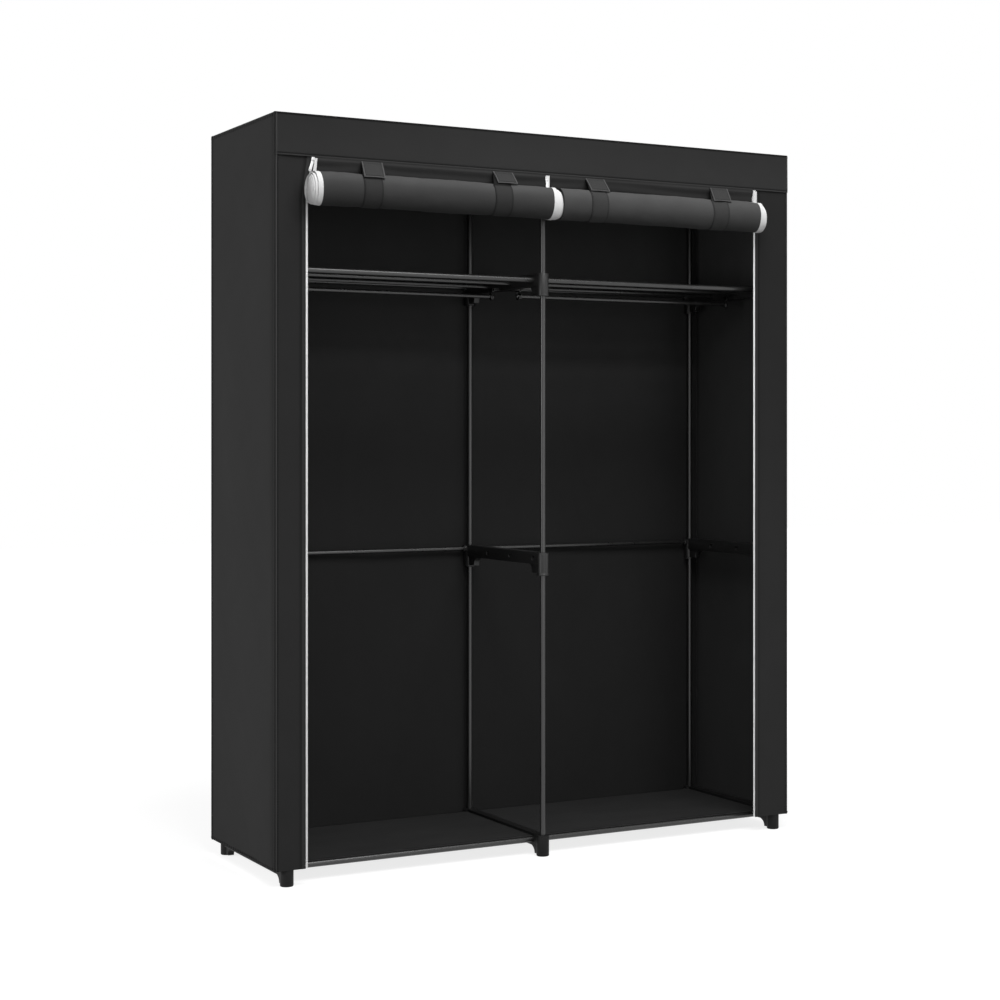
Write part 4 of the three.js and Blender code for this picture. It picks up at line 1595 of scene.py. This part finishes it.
    def _sew(self, seams: Seams) -> None:
        """Corner piping, and the rows of stitches beside the seams."""
        place = self.layout
        half, outside = place.half_width, place.half_width + 0.1
        heights = np.linspace(place.hem + 1.0, self._top, 60)
        back_inset, front_inset = self.corner_inset
        edges = [stacked(side * (half - back_inset), place.back - back_inset, heights) for side in (-1, 1)]
        over_flap = 1.8 * smooth_step(heights, place.flap_bottom - 12.0, place.flap_bottom)
        front = place.front + 0.4 - over_flap
        edges += [stacked(side * (half - front_inset), front, heights) for side in (-1, 1)]
        finishes = self.cloth.shop.finishes
        seams.piping("piping_corners", edges, self.corner_piping, Slot.COVER, finishes.piping)
        from_front, from_back = self.side_rows
        depths = (place.front + from_front, place.back - from_back)
        rows = [stacked(side * outside, y, heights) for y in depths for side in (-1, 1)]
        seams.stitches("stitches_sides", rows, Slot.COVER, stitch=SIDE_STITCH)
        rows = [stacked(side * (half - self.front_row), place.front - 0.1, heights) for side in (-1, 1)]
        seams.stitches("stitches_front", rows, Slot.COVER, stitch=FRONT_STITCH)
        over_hem, under_roof = self.hem_rows
        along = spaced(place.front + 4, place.back - 4, 40)
        levels = (place.hem + over_hem, place.roof - under_roof)
        rows = [stacked(side * outside, along, level) for side in (-1, 1) for level in levels]
        seams.stitches("stitches_hems", rows, Slot.COVER, stitch=HEM_STITCH)
        wide, front, back, lid = half - 0.5, place.front + 0.3, place.back - 0.5, place.roof - 0.9
        ring = [(-wide, front, lid), (wide, front, lid), (wide, back, lid), (-wide, back, lid)]
        roof = [np.linspace(*ends, 60) for ends in zip(ring, ring[1:] + ring[:1])]
        thin, thick = self.roof_piping
        seams.piping("piping_roof", roof[1:], thin, Slot.COVER, finishes.piping)
        # The roof's front edge takes the near-black thread finish: painted shade in the crease where the flap
        # meets the roof.
        seams.piping("piping_roof_front", roof[:1], thick, Slot.COVER, finishes.thread)


@dataclass
class FloorCloth:
    """Cloth floor of each bay, laid on the front tube and sleeved round the back one."""

    layout: Layout
    column_gap: float = 11.3
    front: float = -168.4
    back: float = 189.6
    height: float = 44.0
    hem_drop: float = 12.5
    hem_depth: float = 8.0
    sleeve_radius: float = 6.0
    sleeve_inset: float = 21.0
    sleeve_turn: Pair = (0.15, 0.97)
    seam: float = 11.0

    def build(self, shop: Workshop, seams: Seams) -> None:
        """Makes both bays."""
        cloth = Cloth(shop)
        for bay, left, right in self.layout.bays:
            low, high = left + self.column_gap, right - self.column_gap
            self._main(cloth, bay, low, high)
            self._hem(cloth, bay, low, high)
            self._sleeve(cloth, bay, left + self.sleeve_inset, right - self.sleeve_inset)
            row = stacked(spaced(low + 3, high - 3, 30), self.front + self.seam, self.height + 0.6)
            seams.stitches(f"stitches_floor_{bay}", [row], Slot.LINING)
        LOG.info("floor cloth")

    def _main(self, cloth: Cloth, bay: str, low: float, high: float) -> None:
        """The part that lies flat, with a shallow sag behind its front seam."""
        seam = self.front + self.seam
        marks = [self.front + 0.8, seam - 1.6, seam, seam + 1.6]
        x, y = crossed(spaced(low, high, 12.0), spaced(self.front, self.back, 14.0, marks))
        depth = (y - self.front) / (self.back - self.front)
        width = (x - low) / (high - low)
        sag = held_edges(depth, 0.3) * held_edges(width, 0.12)
        waves = Ripple(1.0, 150.0, 61).at(x, y) + Ripple(0.5, 55.0, 62).at(x, y * 0.6)
        puckers = Ripple(0.55, 26.0, 63).at(x, y * 0.2) * np.exp(-np.abs(y - seam) / 8.0)
        groove = np.abs(y - seam) < 0.9
        z = self.height - sag * (2.2 - waves) + puckers * (depth > 0.004) - groove * 0.5
        # Painted light: the strip before the seam lighter, painted shade in the seam groove, and faint
        # painted light and dark streaks across.
        lift = (y < seam - 1.0) * 0.25 - groove * 0.5 + 0.09 * Ripple(1.0, 34.0, 64).at(x * 0.12, y)
        cut = Cut(high - low, self.back - self.front, Held.LAID, (f"base_rail_front_{bay}",))
        grid, finish = stacked(x, y, z), cloth.shop.finishes.lining
        cloth.sheet(f"cloth_floor_{bay}", grid, finish, Slot.LINING, cut, [f"floor_cloth_{bay}"], lift)

    def _hem(self, cloth: Cloth, bay: str, low: float, high: float) -> None:
        """The strip that hangs behind the front tube."""
        x, z = crossed(spaced(low, high, 30.0), spaced(self.height - self.hem_drop, self.height, 6.0))
        grid = stacked(x, self.front + 1.0 + self.hem_depth, z)
        cut = Cut(high - low, self.hem_drop, Held.HUNG, (f"base_rail_front_{bay}",))
        cloth.sheet(f"cloth_floor_hem_{bay}", grid, cloth.shop.finishes.lining, Slot.LINING, cut)

    def _sleeve(self, cloth: Cloth, bay: str, low: float, high: float) -> None:
        """The sleeve round the back tube."""
        x, turn = crossed(spaced(low, high, 30.0), np.linspace(*self.sleeve_turn, 22))
        y = self.layout.post_depth + self.sleeve_radius * np.cos(turn * FULL_TURN)
        z = self.layout.base + self.sleeve_radius * np.sin(turn * FULL_TURN)
        round_tube = 0.82 * FULL_TURN * self.sleeve_radius
        cut = Cut(high - low, round_tube, Held.FOLDED, (f"base_rail_back_{bay}",))
        grid = stacked(x, y, z)
        cloth.sheet(f"cloth_floor_sleeve_{bay}", grid, cloth.shop.finishes.lining, Slot.LINING, cut)


@dataclass(frozen=True)
class DoorEnd:
    """One end of a roll, across the wardrobe.

    Attributes:
        edge: Where the outer turn's cloth ends.
        slip: How far the innermost turn stands out of the outer one, to the outside.
        tail: Where the flat cloth above the roll ends.
        tape_from: Where the white tape starts on the outer turn, or nothing without tape.
        tape_to: Where the white tape ends on the outer turn.
    """

    edge: float
    slip: float
    tail: float
    tape_from: float | None = None
    tape_to: float | None = None


@dataclass
class RolledDoor:
    """A door panel rolled up and held by two bands, with its zip tape wound along its ends."""

    layout: Layout
    name: str
    left: DoorEnd
    right: DoorEnd
    bands: tuple[float, ...]
    hinges: tuple[float, ...]
    seed: int
    depth: float = -250.0
    height: float = 1571.0
    half_depth: float = 28.5
    half_height: float = 38.5
    turns: float = 13.0
    per_turn: float = 0.07
    steps: int = 44
    band_width: float = 46.0
    band_turns: Pair = (0.1, 0.66)
    sag: float = 5.0
    # Painted light of the bands.
    band_painted_light: float = 0.0
    band_top: Pair = (-219.6, 1640.0)
    # Painted shadow of the tab on the band's upper end.
    band_shade: float = 0.7
    band_out: float = 1.5
    stitch_out: float = 2.2
    tape_lift: float = 0.75
    tape_start: float = 6.5
    tape_out: float = 8.2
    tape_over: float = 2.4
    tape_narrow: float = 7.0
    tail_end: float = 8.0
    # Painted shade on the flat cloth above the roll.
    tail_shade: float = 0.68
    # Painted light on the roll: brightness offset, slope towards the top of each turn, and lit crest.
    tone: Row = (0.0, 0.2, 0.1)

    def build(self, shop: Workshop, seams: Seams) -> None:
        """Makes the cloth, its tapes and its bands."""
        cloth = Cloth(shop, 0.9)
        turns = np.linspace(0.0, self.turns, round(self.turns * self.steps) + 1)
        self._panel(cloth, turns)
        for end, name, side in ((self.left, "left", -1), (self.right, "right", 1)):
            if end.tape_from is not None:
                self._tape(cloth, turns, end, name, side)
        for number, (middle, hinge) in enumerate(zip(self.bands, self.hinges)):
            self._band(cloth, seams, f"{self.name}_{number + 1}", middle, hinge)
        LOG.info("rolled door %s", self.name)

    def _section(self, turn: Numbers, x: Numbers, out: float = 0.0) -> tuple[Array, Array]:
        """Depth and height of the wound cloth.

        Args:
            turn: Turns from the back of the outer layer.
            x: Places across.
            out: How far outside the cloth's middle the point lies.

        Returns:
            Depths and heights.
        """
        share = 1 - self.per_turn * turn
        angle = -FULL_TURN * turn
        droop = self.sag * self._slip(turn) * smooth_step(self._end_share(x), 0.0, 1.0)
        long, short = Ripple(0.8, 190.0, self.seed), Ripple(0.5, 44.0, self.seed + 1)
        soft = long.at(x, 90.0 * np.sin(angle)) + short.at(x, 60.0 * np.cos(angle))
        pinch = sum(np.exp(-(((x - middle) / 34.0) ** 4)) for middle in self.bands)
        swell = (soft - 1.1 * pinch + 0.5) * share + out
        y = self.depth + (self.half_depth * share + swell) * np.cos(angle)
        z = self.height + (self.half_height * share + swell) * np.sin(angle) - droop
        return y, z

    def _end_share(self, x: Numbers) -> Array:
        """Rises from 0 inside the roll to 1 at an end whose turns have slipped out."""
        near = np.zeros_like(np.asarray(x, float))
        for end, side in ((self.left, -1), (self.right, 1)):
            if end.slip > 0:
                near = np.maximum(near, np.clip(1 - side * (end.edge - x) / 30.0, 0.0, 1.0))
        return near

    def _slip(self, turn: Numbers) -> Numbers:
        """Share of an end's slip that each turn has."""
        return 1 - np.exp(-turn / 2.1)

    def _panel(self, cloth: Cloth, turns: Array) -> None:
        """The door's cloth, from under the flap into the roll."""
        place = self.layout
        tail_z = np.linspace(place.flap_bottom + 6.0, self.height + self.tail_end, 22)
        fall = (place.flap_bottom - tail_z) / (place.flap_bottom - self.height)
        columns = np.linspace(0.0, 1.0, 56)
        rows = []
        for z, share in zip(tail_z, fall):
            low, high = (self._tail_edge(end, float(share)) for end in (self.left, self.right))
            x = low + (high - low) * columns
            folds = 1.3 * np.sin(share * 17.0 + Ripple(0.9, 260.0, self.seed + 2).at(x, 0.0))
            folds *= float(smooth_step(share, 0.02, 0.2) * smooth_step(1 - share, 0.05, 0.4))
            y = place.front - 1.8 - 4.2 * float(smooth_step(share, -0.05, 0.25))
            rows.append(stacked(x, y - folds, z))
        for turn in turns:
            slip = self._slip(turn)
            low, high = self.left.edge - self.left.slip * slip, self.right.edge + self.right.slip * slip
            x = low + (high - low) * columns
            rows.append(stacked(x, *self._section(turn, x)))
        grid, flat = np.array(rows), len(tail_z)
        # Painted light: the roll lighter towards the top of each turn, with a lit crest.
        tone, light_slope, lit_crest = self.tone
        rise = -np.sin(FULL_TURN * turns)
        lift = np.zeros(grid.shape[:2])
        lift[flat:] = (tone + light_slope * rise + lit_crest * smooth_step(rise, 0.2, 0.8))[:, None]
        # Painted shade on the flat cloth above the roll, with a painted highlight line along the seam under
        # the flap.
        seam = np.abs(grid[:flat, :, 2] - place.flap_bottom + 8.5) < 1.6
        lift[:flat] = 0.2 * seam - self.tail_shade
        length = run_length(grid[:, len(columns) // 2])
        cut = Cut(self.right.edge - self.left.edge, length, Held.FOLDED, ("cloth_header",))
        name, nodes = f"cloth_door_{self.name}", [f"rolled_door_{self.name}"]
        cloth.sheet(name, grid, cloth.shop.finishes.door, Slot.DOOR, cut, nodes, lift)

    @staticmethod
    def _tail_edge(end: DoorEnd, share: float) -> float:
        """Edge of the flat cloth above the roll, which slants towards the roll's own end."""
        return end.tail + (end.edge - end.tail) * max(share, 0.0)

    def _tape(self, cloth: Cloth, turns: Array, end: DoorEnd, name: str, side: int) -> None:
        """White zip tape wound with one edge of the cloth.

        Args:
            cloth: Maker of sheets.
            turns: Turns along the winding.
            end: The roll's end.
            name: Name of the end.
            side: −1 where the end faces left and 1 where it faces right.
        """
        columns = np.linspace(0.0, 1.0, 5)
        top, out = self.layout.flap_bottom, self.layout.front - self.tape_out
        rows = []
        for z in np.linspace(top - self.tape_start, self.height + self.tail_end, 12):
            share = (top - z) / (top - self.height)
            inner = self._tail_edge(end, share) if side < 0 else end.tail
            x = inner - side * self.tape_over + (end.tape_to - end.tape_from) * columns
            if side < 0:
                x += self.tape_narrow * (1 - share) * (x.max() - x) / np.ptp(x)
            rows.append(stacked(x, out, z))
        for turn in turns:
            shift = side * end.slip * self._slip(turn)
            x = end.tape_from + (end.tape_to - end.tape_from) * columns + shift
            rows.append(stacked(x, *self._section(turn, x, self.tape_lift)))
        grid = np.array(rows)
        length, width = run_length(grid[:, len(columns) // 2]), abs(end.tape_to - end.tape_from)
        cut = Cut(width, length, Held.FOLDED, (f"cloth_door_{self.name}",))
        tape = f"tape_{self.name}_{name}"
        cloth.sheet(tape, grid, cloth.shop.finishes.tape, Slot.TEETH, cut, thickness=0.5)

    def _band(self, cloth: Cloth, seams: Seams, name: str, middle: float, hinge: float) -> None:
        """Hook-and-loop band, sewn on under the flap, that goes down over the roll and holds it.

        Args:
            cloth: Maker of sheets.
            seams: Maker of stitches.
            name: Name of the band.
            middle: Its middle on the roll, across.
            hinge: Its middle where it is sewn on, across.
        """
        half = self.band_width / 2
        places = spaced(-half, half, 8.0, [-half + 1.6, -half + 2.2, half - 2.2, half - 1.6])
        turns = np.linspace(*self.band_turns, 36)
        turn, across = crossed(turns, places)
        x = across + middle
        wound = stacked(x, *self._section(turn, x, self.band_out))
        leg = np.linspace(0.0, 1.0, 10)[1:, None, None]
        top = stacked(places + hinge, *self.band_top)
        grid = np.concatenate([wound, wound[-1] + (top - wound[-1]) * leg])
        edge = np.abs(places)
        # Painted light: the band's brightness, painted shade along both edges, and the tab's painted shadow
        # on the band's upper end.
        lift = (self.band_painted_light + np.where(edge > half - 1.8, -0.4, 0.0)) * np.ones((len(grid), 1))
        lift[len(wound) - 1 :] -= self.band_shade
        length = run_length(grid[:, len(places) // 2])
        cut = Cut(self.band_width, length, Held.FOLDED, (f"cloth_door_{self.name}",))
        finish = cloth.shop.finishes.strap
        cloth.sheet(f"band_{name}", grid, finish, Slot.STRAP, cut, lift=lift, thickness=1.2)
        edges = (middle + (-half + 3.0), middle + (half - 3.0))
        rows = [stacked(x, *self._section(turns, x, self.stitch_out)) for x in edges]
        seams.stitches(f"stitches_band_{name}", rows, Slot.STRAP)


@dataclass(frozen=True)
class Tab:
    """One strap tab: the middle of its sewn edge, its skew to the left and its length."""

    middle: float
    skew: float
    length: float


@dataclass
class StrapTabs:
    """Tabs sewn under the flap that close on the bands."""

    tabs: tuple[Tab, ...]
    width: float = 52.0
    hinge_depth: float = -220.8
    hinge_height: float = 1641.0
    lean: float = 51.0
    border: float = 4.0
    bow: float = 1.3
    cup: Pair = (0.5, 9.0)
    droop: float = 1.8

    def build(self, shop: Workshop, seams: Seams) -> None:
        """Makes the four tabs."""
        cloth = Cloth(shop, 1.7)
        for number, tab in enumerate(self.tabs, start=1):
            self._tab(cloth, seams, number, tab)
        LOG.info("strap tabs")

    def _tab(self, cloth: Cloth, seams: Seams, number: int, tab: Tab) -> None:
        """One tab.

        Args:
            cloth: Maker of sheets.
            seams: Maker of stitches.
            number: Its number, from the left.
            tab: Its place and shape.
        """
        half, edge, length = self.width / 2, self.border, tab.length
        inner, outer = half - edge - 0.6, half - edge + 0.6
        across, along = crossed(
            spaced(-half, half, 6.0, [-outer, -inner, inner, outer]),
            spaced(0.0, length, 5.0, [length - edge - 0.6, length - edge + 0.6]),
        )
        grid = self._laid(tab, across, along, 0.0)
        inside = np.minimum(half - np.abs(across), length - along)
        # Painted light: a painted highlight on the hemmed rim, painted shade along the stitch line, and the
        # whole tab a little lighter.
        lift = (inside < edge) * 1.4 - (np.abs(inside - edge) < 0.7) * 0.6 + 0.12
        body = f"strap_{number}"
        cut = Cut(self.width, length, Held.STRETCHED, ("cloth_header",))
        finish = cloth.shop.finishes.strap
        cloth.sheet(f"tab_{number}", grid, finish, Slot.STRAP, cut, [f"strap_tab_{number}"], lift, body)
        down = np.linspace(4.0, length - edge, 12)
        rows = [self._laid(tab, side, down, 1.0) for side in (-half + edge, half - edge)]
        run = np.linspace(-half + edge, half - edge, 12)
        rows += [self._laid(tab, run, place, 1.0) for place in (length - edge, 8.0)]
        seams.stitches(f"stitches_tab_{number}", rows, Slot.STRAP, body)

    def _laid(self, tab: Tab, across: Numbers, along: Numbers, out: float) -> Array:
        """Points of a tab, which leans forward and droops a little at its end.

        Args:
            tab: Its place and shape.
            across: Distances from its middle line.
            along: Distances from its sewn edge.
            out: Distance over its middle surface.

        Returns:
            The points.
        """
        lean = math.radians(self.lean)
        share = along / tab.length
        cup, width = self.cup
        bow = self.bow * np.sin(np.pi * share) + cup * np.cos(across / width) * share
        bow = bow + self.droop * share**2 + out
        x = tab.middle + across - tab.skew * share
        y = self.hinge_depth - along * math.sin(lean) - bow * math.cos(lean)
        z = self.hinge_height - along * math.cos(lean) + bow * math.sin(lean)
        return stacked(x, y, z)


@dataclass(frozen=True)
class Slider:
    """Where one slider is and how its pull hangs.

    Attributes:
        name: Name of its zip.
        body: The body that the slider rides on.
        centre: Its middle.
        hang: How far its pull leans to the left of it, in degrees.
        leans: Whether it follows the lean of the opening's left edge.
    """

    name: str
    body: str
    centre: Row
    hang: float = 0.0
    leans: bool = False


@dataclass
class Zips:
    """Two zips beside the opening and one between the doors, with sliders and pulls."""

    layout: Layout
    foot: float = 40.0
    tape_width: float = 4.6
    sewn_share: float = 3.0
    depth: float = -214.3
    insets: Pair = (3.0, 2.6)
    sliders: tuple[Slider, ...] = (
        Slider("left", "slider_left", (-610.186, -214.3, 1638.5), 9.0, True),
        Slider("right", "slider_right", (595.8, -214.3, 1638.5), 20.0),
        Slider("middle", "frame", (-11.7, -218.9, 1631.5)),
    )
    slider_width: float = 8.6
    slider_length: float = 15.0
    plate: float = 1.4
    gap: float = 3.0
    bail_rise: float = 3.4
    pull_width: float = 6.4
    pull_length: float = 30.0
    pull_thickness: float = 1.4
    pull_depth: float = 4.1

    def build(self, shop: Workshop, seams: Seams) -> None:
        """Makes the rows of teeth, the sliders and the pulls."""
        place = self.layout
        left, right = self.insets
        self._chain(shop, seams, "left", place.opening_left + left, place.lean)
        self._chain(shop, seams, "right", place.opening_right - right, 0.0)
        tilt = math.atan2(place.lean, place.flap_bottom - place.lean_from)
        for slider in self.sliders:
            self._slider(shop, slider, tilt if slider.leans else 0.0)
            self._pull(shop, slider, tilt if slider.leans else 0.0)
        LOG.info("zips")

    def _chain(self, shop: Workshop, seams: Seams, name: str, x: float, lean: float) -> None:
        """Tape and teeth of one outer zip.

        Args:
            shop: Maker of the pieces.
            seams: Owner of the row pattern.
            name: Name of the zip.
            x: Its middle at the floor.
            lean: How far its top leans.
        """
        place, finish = self.layout, shop.finishes.teeth
        heights = spaced(self.foot, place.flap_bottom, 30.0, [place.lean_from])
        middle = x + lean * place.lean_share(heights)
        half = self.tape_width / 2
        z, across = crossed(heights, np.array([-half, 0.0, half]))
        grid = stacked(middle[:, None] + across, self.depth, z)
        length = place.flap_bottom - self.foot
        under, shown = (f"cloth_strip_{name}",), self.tape_width * length
        cut = Cut(self.tape_width * self.sewn_share, length, Held.STRETCHED, under, shown)
        node = [f"zip_chain_{name}"]
        Cloth(shop, 0.9).sheet(f"tape_{name}", grid[::-1], finish, Slot.TEETH, cut, node)
        line = stacked(middle, self.depth - 0.7, heights)
        seams.stitches(f"teeth_{name}", [line], Slot.TEETH, stitch=TOOTH, finish=finish)

    def _slider(self, shop: Workshop, slider: Slider, tilt: float) -> None:
        """Slider of two plates with a neck between them and a bail on its front.

        Args:
            shop: Maker of the pieces.
            slider: Its place.
            tilt: Its lean about Y.
        """
        wide, tall = self.slider_width / 2, self.slider_length / 2
        outline = [(wide - 1.6, -tall), (wide, 0.5), (wide - 0.4, tall - 1.6), (wide - 2.0, tall)]
        outline += [(-across, up) for across, up in reversed(outline)]
        offset = (self.gap + self.plate) / 2
        plates = [facing_front(Plate(outline, self.plate, 0.4).form(), y) for y in (-offset, offset)]
        neck = Plate([(-1.2, 1.0), (1.2, 1.0), (1.2, tall - 0.4), (-1.2, tall - 0.4)], self.gap + 0.4, 0.2)
        face = -(self.gap / 2 + self.plate)
        high = face - self.bail_rise
        bridge = [(face + 0.3, 4.2), (high, 2.6), (high, -2.6), (face + 0.3, -4.2)]
        bridge += [(face + 0.3, -2.6), (high + 1.2, -1.6), (high + 1.2, 1.6), (face + 0.3, 2.6)]
        bail = facing_side(Plate(bridge, 1.6, 0.25).form(), 0.0)
        form = Form.joined([*plates, facing_front(neck.form(), 0.0), bail])
        form = form.turned(tilt, "Y").moved(slider.centre)
        piece = shop.mesh(f"slider_{slider.name}", form, shop.finishes.enamel, 35.0)
        shop.finished(piece, slider.body, Slot.ENAMEL, [f"zip_slider_{slider.name}"])

    def _pull(self, shop: Workshop, slider: Slider, tilt: float) -> None:
        """Flat pull with a window for the bail and a hole near its round end.

        Args:
            shop: Maker of the pieces.
            slider: The slider that it hangs from.
            tilt: The slider's lean about Y.
        """
        half = self.pull_width / 2
        end = 0.8 - self.pull_length
        outline = [(half, 0.6), (-half, 0.6), *arc((0.0, end + half), half, 180, 360, 14)]
        window = [(-1.3, -6.0), (1.3, -6.0), (1.3, -0.9), (-1.3, -0.9)]
        hole = arc((0.0, end + half), 1.5, 0, 330, 11)
        tab = Plate(outline, self.pull_thickness, 0.3, (window, hole)).form()
        form = facing_front(tab, -self.pull_depth).turned(tilt + math.radians(slider.hang), "Y")
        name = f"pull_{slider.name}"
        piece = shop.mesh(name, form.moved(slider.centre), shop.finishes.enamel, 35.0)
        shop.finished(piece, name, Slot.ENAMEL, [f"zip_{name}"])


def seen(tree: Tree) -> Value:
    """One for rays from the camera and for those that metal or glass sends on, and zero for soft light."""
    rays = tree.node("ShaderNodeLightPath").outputs
    kinds = ("Camera", "Glossy", "Transmission")
    camera, glossy, sent = (Value(tree, rays[f"Is {kind} Ray"]) for kind in kinds)
    return camera.largest(glossy).largest(sent)


@dataclass(frozen=True)
class Softbox:
    """A square lamp.

    Attributes:
        name: Its name.
        power: Its power in watts.
        size: Its side in metres.
        place: Where it hangs, in metres.
        target: What it looks at, in metres.
    """

    name: str
    power: float
    size: float
    place: Row
    target: Row

    def build(self) -> None:
        """Adds the lamp."""
        data = bpy.data.lights.new(self.name, "AREA")
        data.energy, data.size, data.shape = self.power, self.size, "SQUARE"
        lamp = placed(self.name, data)
        lamp.location = self.place
        ray = Vector(self.target) - Vector(self.place)
        lamp.rotation_euler = ray.to_track_quat("-Z", "Y").to_euler()


@dataclass(frozen=True)
class Studio:
    """Camera, lamps and white ground."""

    eye: Row = (-2289.51, -4402.85, 1005.25)
    heading: float = -29.837
    lens: float = 71.22
    shift: Pair = (-0.0903, -0.0603)
    ambient: float = 0.35
    bounce: float = 0.3
    shade: float = 0.3
    glow: float = 0.8
    fade_from: float = 0.4
    fade: float = 2.4
    ground: float = 14.0
    softboxes: tuple[Softbox, ...] = (
        Softbox("top_softbox", 115.0, 2.4, (0.0, -1.7, 3.6), (0.0, 0.0, 1.4)),
        Softbox("key_softbox", 26.0, 1.2, (-3.5, -0.8, 1.3), (0.0, -0.2, 1.0)),
        Softbox("right_softbox", 7.0, 1.2, (2.9, -2.5, 1.4), (0.0, -0.2, 1.0)),
        Softbox("low_softbox", 23.0, 2.4, (0.3, -4.6, 0.7), (0.0, 0.0, 1.4)),
        Softbox("side_softbox", 42.0, 1.4, (-3.6, 0.6, 1.6), (-0.7, 0.0, 0.9)),
    )

    def build(self, axes: Axes) -> None:
        """Sets the camera, the lamps, the world and the ground."""
        self._camera(axes)
        self._world()
        for softbox in self.softboxes:
            softbox.build()
        self._ground()
        bpy.context.scene.view_settings.view_transform = "Standard"

    def _camera(self, axes: Axes) -> None:
        """Places a level camera with a shifted lens."""
        data = bpy.data.cameras.new("camera")
        data.sensor_width = 36.0
        data.lens = self.lens
        data.shift_x, data.shift_y = self.shift
        data.clip_end = 60.0
        camera = placed("camera", data)
        camera.location = Vector(axes.metres(np.array([self.eye]))[0])
        camera.rotation_euler = (math.radians(90), 0.0, math.radians(self.heading))
        bpy.context.scene.camera = camera

    def _world(self) -> None:
        """White for the camera, and a soft even light for everything else."""
        world = bpy.data.worlds.new("studio")
        world.use_nodes = True
        bpy.context.scene.world = world
        tree = Tree(world.node_tree)
        light = tree.node("ShaderNodeBackground", inputs={0: (1, 1, 1, 1), 1: self.ambient})
        white = tree.node("ShaderNodeBackground", inputs={0: (1, 1, 1, 1), 1: 1.0})
        choice = {0: seen(tree), 1: light.outputs[0], 2: white.outputs[0]}
        mixed = tree.node("ShaderNodeMixShader", inputs=choice)
        tree.node("ShaderNodeOutputWorld", inputs={0: mixed.outputs[0]})

    def _ground(self) -> None:
        """Lays a white floor that shows as pure white but for the object's own soft shade."""
        data = bpy.data.meshes.new("ground")
        corners = [(-1, -1), (1, -1), (1, 1), (-1, 1)]
        data.from_pydata([(x * self.ground, y * self.ground, 0) for x, y in corners], [], [(0, 1, 2, 3)])
        ground = placed("ground", data)
        finish = Finish("ground_white")
        greys = ((self.bounce,) * 3, (self.shade,) * 3)
        matt, shaded = (finish.node("ShaderNodeBsdfDiffuse", inputs={0: (*grey, 1)}) for grey in greys)
        away = (finish.axis(0) * MILLI) ** 2 + (finish.axis(1) * MILLI) ** 2
        fading = finish.node(
            "ShaderNodeMapRange",
            {"interpolation_type": "SMOOTHSTEP"},
            {0: away, 1: self.fade_from, 2: self.fade**2, 3: self.glow, 4: 1.0},
        )
        glow = finish.node("ShaderNodeEmission", inputs={0: fading.outputs[0], 1: 1.0})
        bright = finish.node("ShaderNodeAddShader", inputs={0: shaded.outputs[0], 1: glow.outputs[0]})
        choice = {0: seen(finish), 1: matt.outputs[0], 2: bright.outputs[0]}
        shown = finish.node("ShaderNodeMixShader", inputs=choice)
        finish.node("ShaderNodeOutputMaterial", inputs={0: shown.outputs[0]})
        data.materials.append(finish.material)


def rolled_doors(layout: Layout) -> tuple[RolledDoor, RolledDoor]:
    """Both doors as they are rolled up."""
    return (
        RolledDoor(
            layout,
            "left",
            left=DoorEnd(edge=-611.0, slip=21.0, tail=-604.0, tape_from=-605.0, tape_to=-617.0),
            right=DoorEnd(edge=-19.0, slip=28.0, tail=-13.0, tape_from=-27.0, tape_to=-17.0),
            bands=(-487.0, -154.5),
            hinges=(-471.0, -134.0),
            seed=71,
            # Painted light: the bands' brightness, and the roll's offset, slope towards the top and lit
            # crest.
            band_painted_light=-0.14,
            tone=(-0.18, 0.2, 0.25),
        ),
        RolledDoor(
            layout,
            "right",
            left=DoorEnd(edge=5.3, slip=0.0, tail=-8.0),
            right=DoorEnd(edge=575.0, slip=17.0, tail=590.0, tape_from=571.0, tape_to=582.0),
            bands=(106.0, 455.0),
            hinges=(119.0, 480.0),
            seed=81,
            # Painted light: the bands' brightness, and the roll's offset, slope towards the top and lit
            # crest.
            band_painted_light=0.24,
            tone=(0.08, 0.26, 0.05),
        ),
    )


def main() -> None:
    """Dresses the frame, and sets the stage."""
    logging.basicConfig(level=logging.INFO, format="%(name)s: %(message)s")
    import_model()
    layout = Layout()
    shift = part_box("cover_back")[1].y / MILLI - layout.back
    axes = Axes(shift)
    LOG.info("depth shift %.3f mm", shift)
    shop = Workshop(axes, Finishes.made())
    seams = Seams(shop)
    for structure in (SteelTubes(layout), HangingRods(layout), Brackets(layout)):
        structure.build(shop)
    tabs = (Tab(-468.0, 15.5, 68.0), Tab(-131.0, 6.5, 52.0), Tab(121.8, 9.0, 57.0), Tab(483.3, 20.0, 63.0))
    for sewn in (Cover(layout), FloorCloth(layout), *rolled_doors(layout), StrapTabs(tabs), Zips(layout)):
        sewn.build(shop, seams)
    Studio().build(axes)


if __name__ == "__main__":
    main()
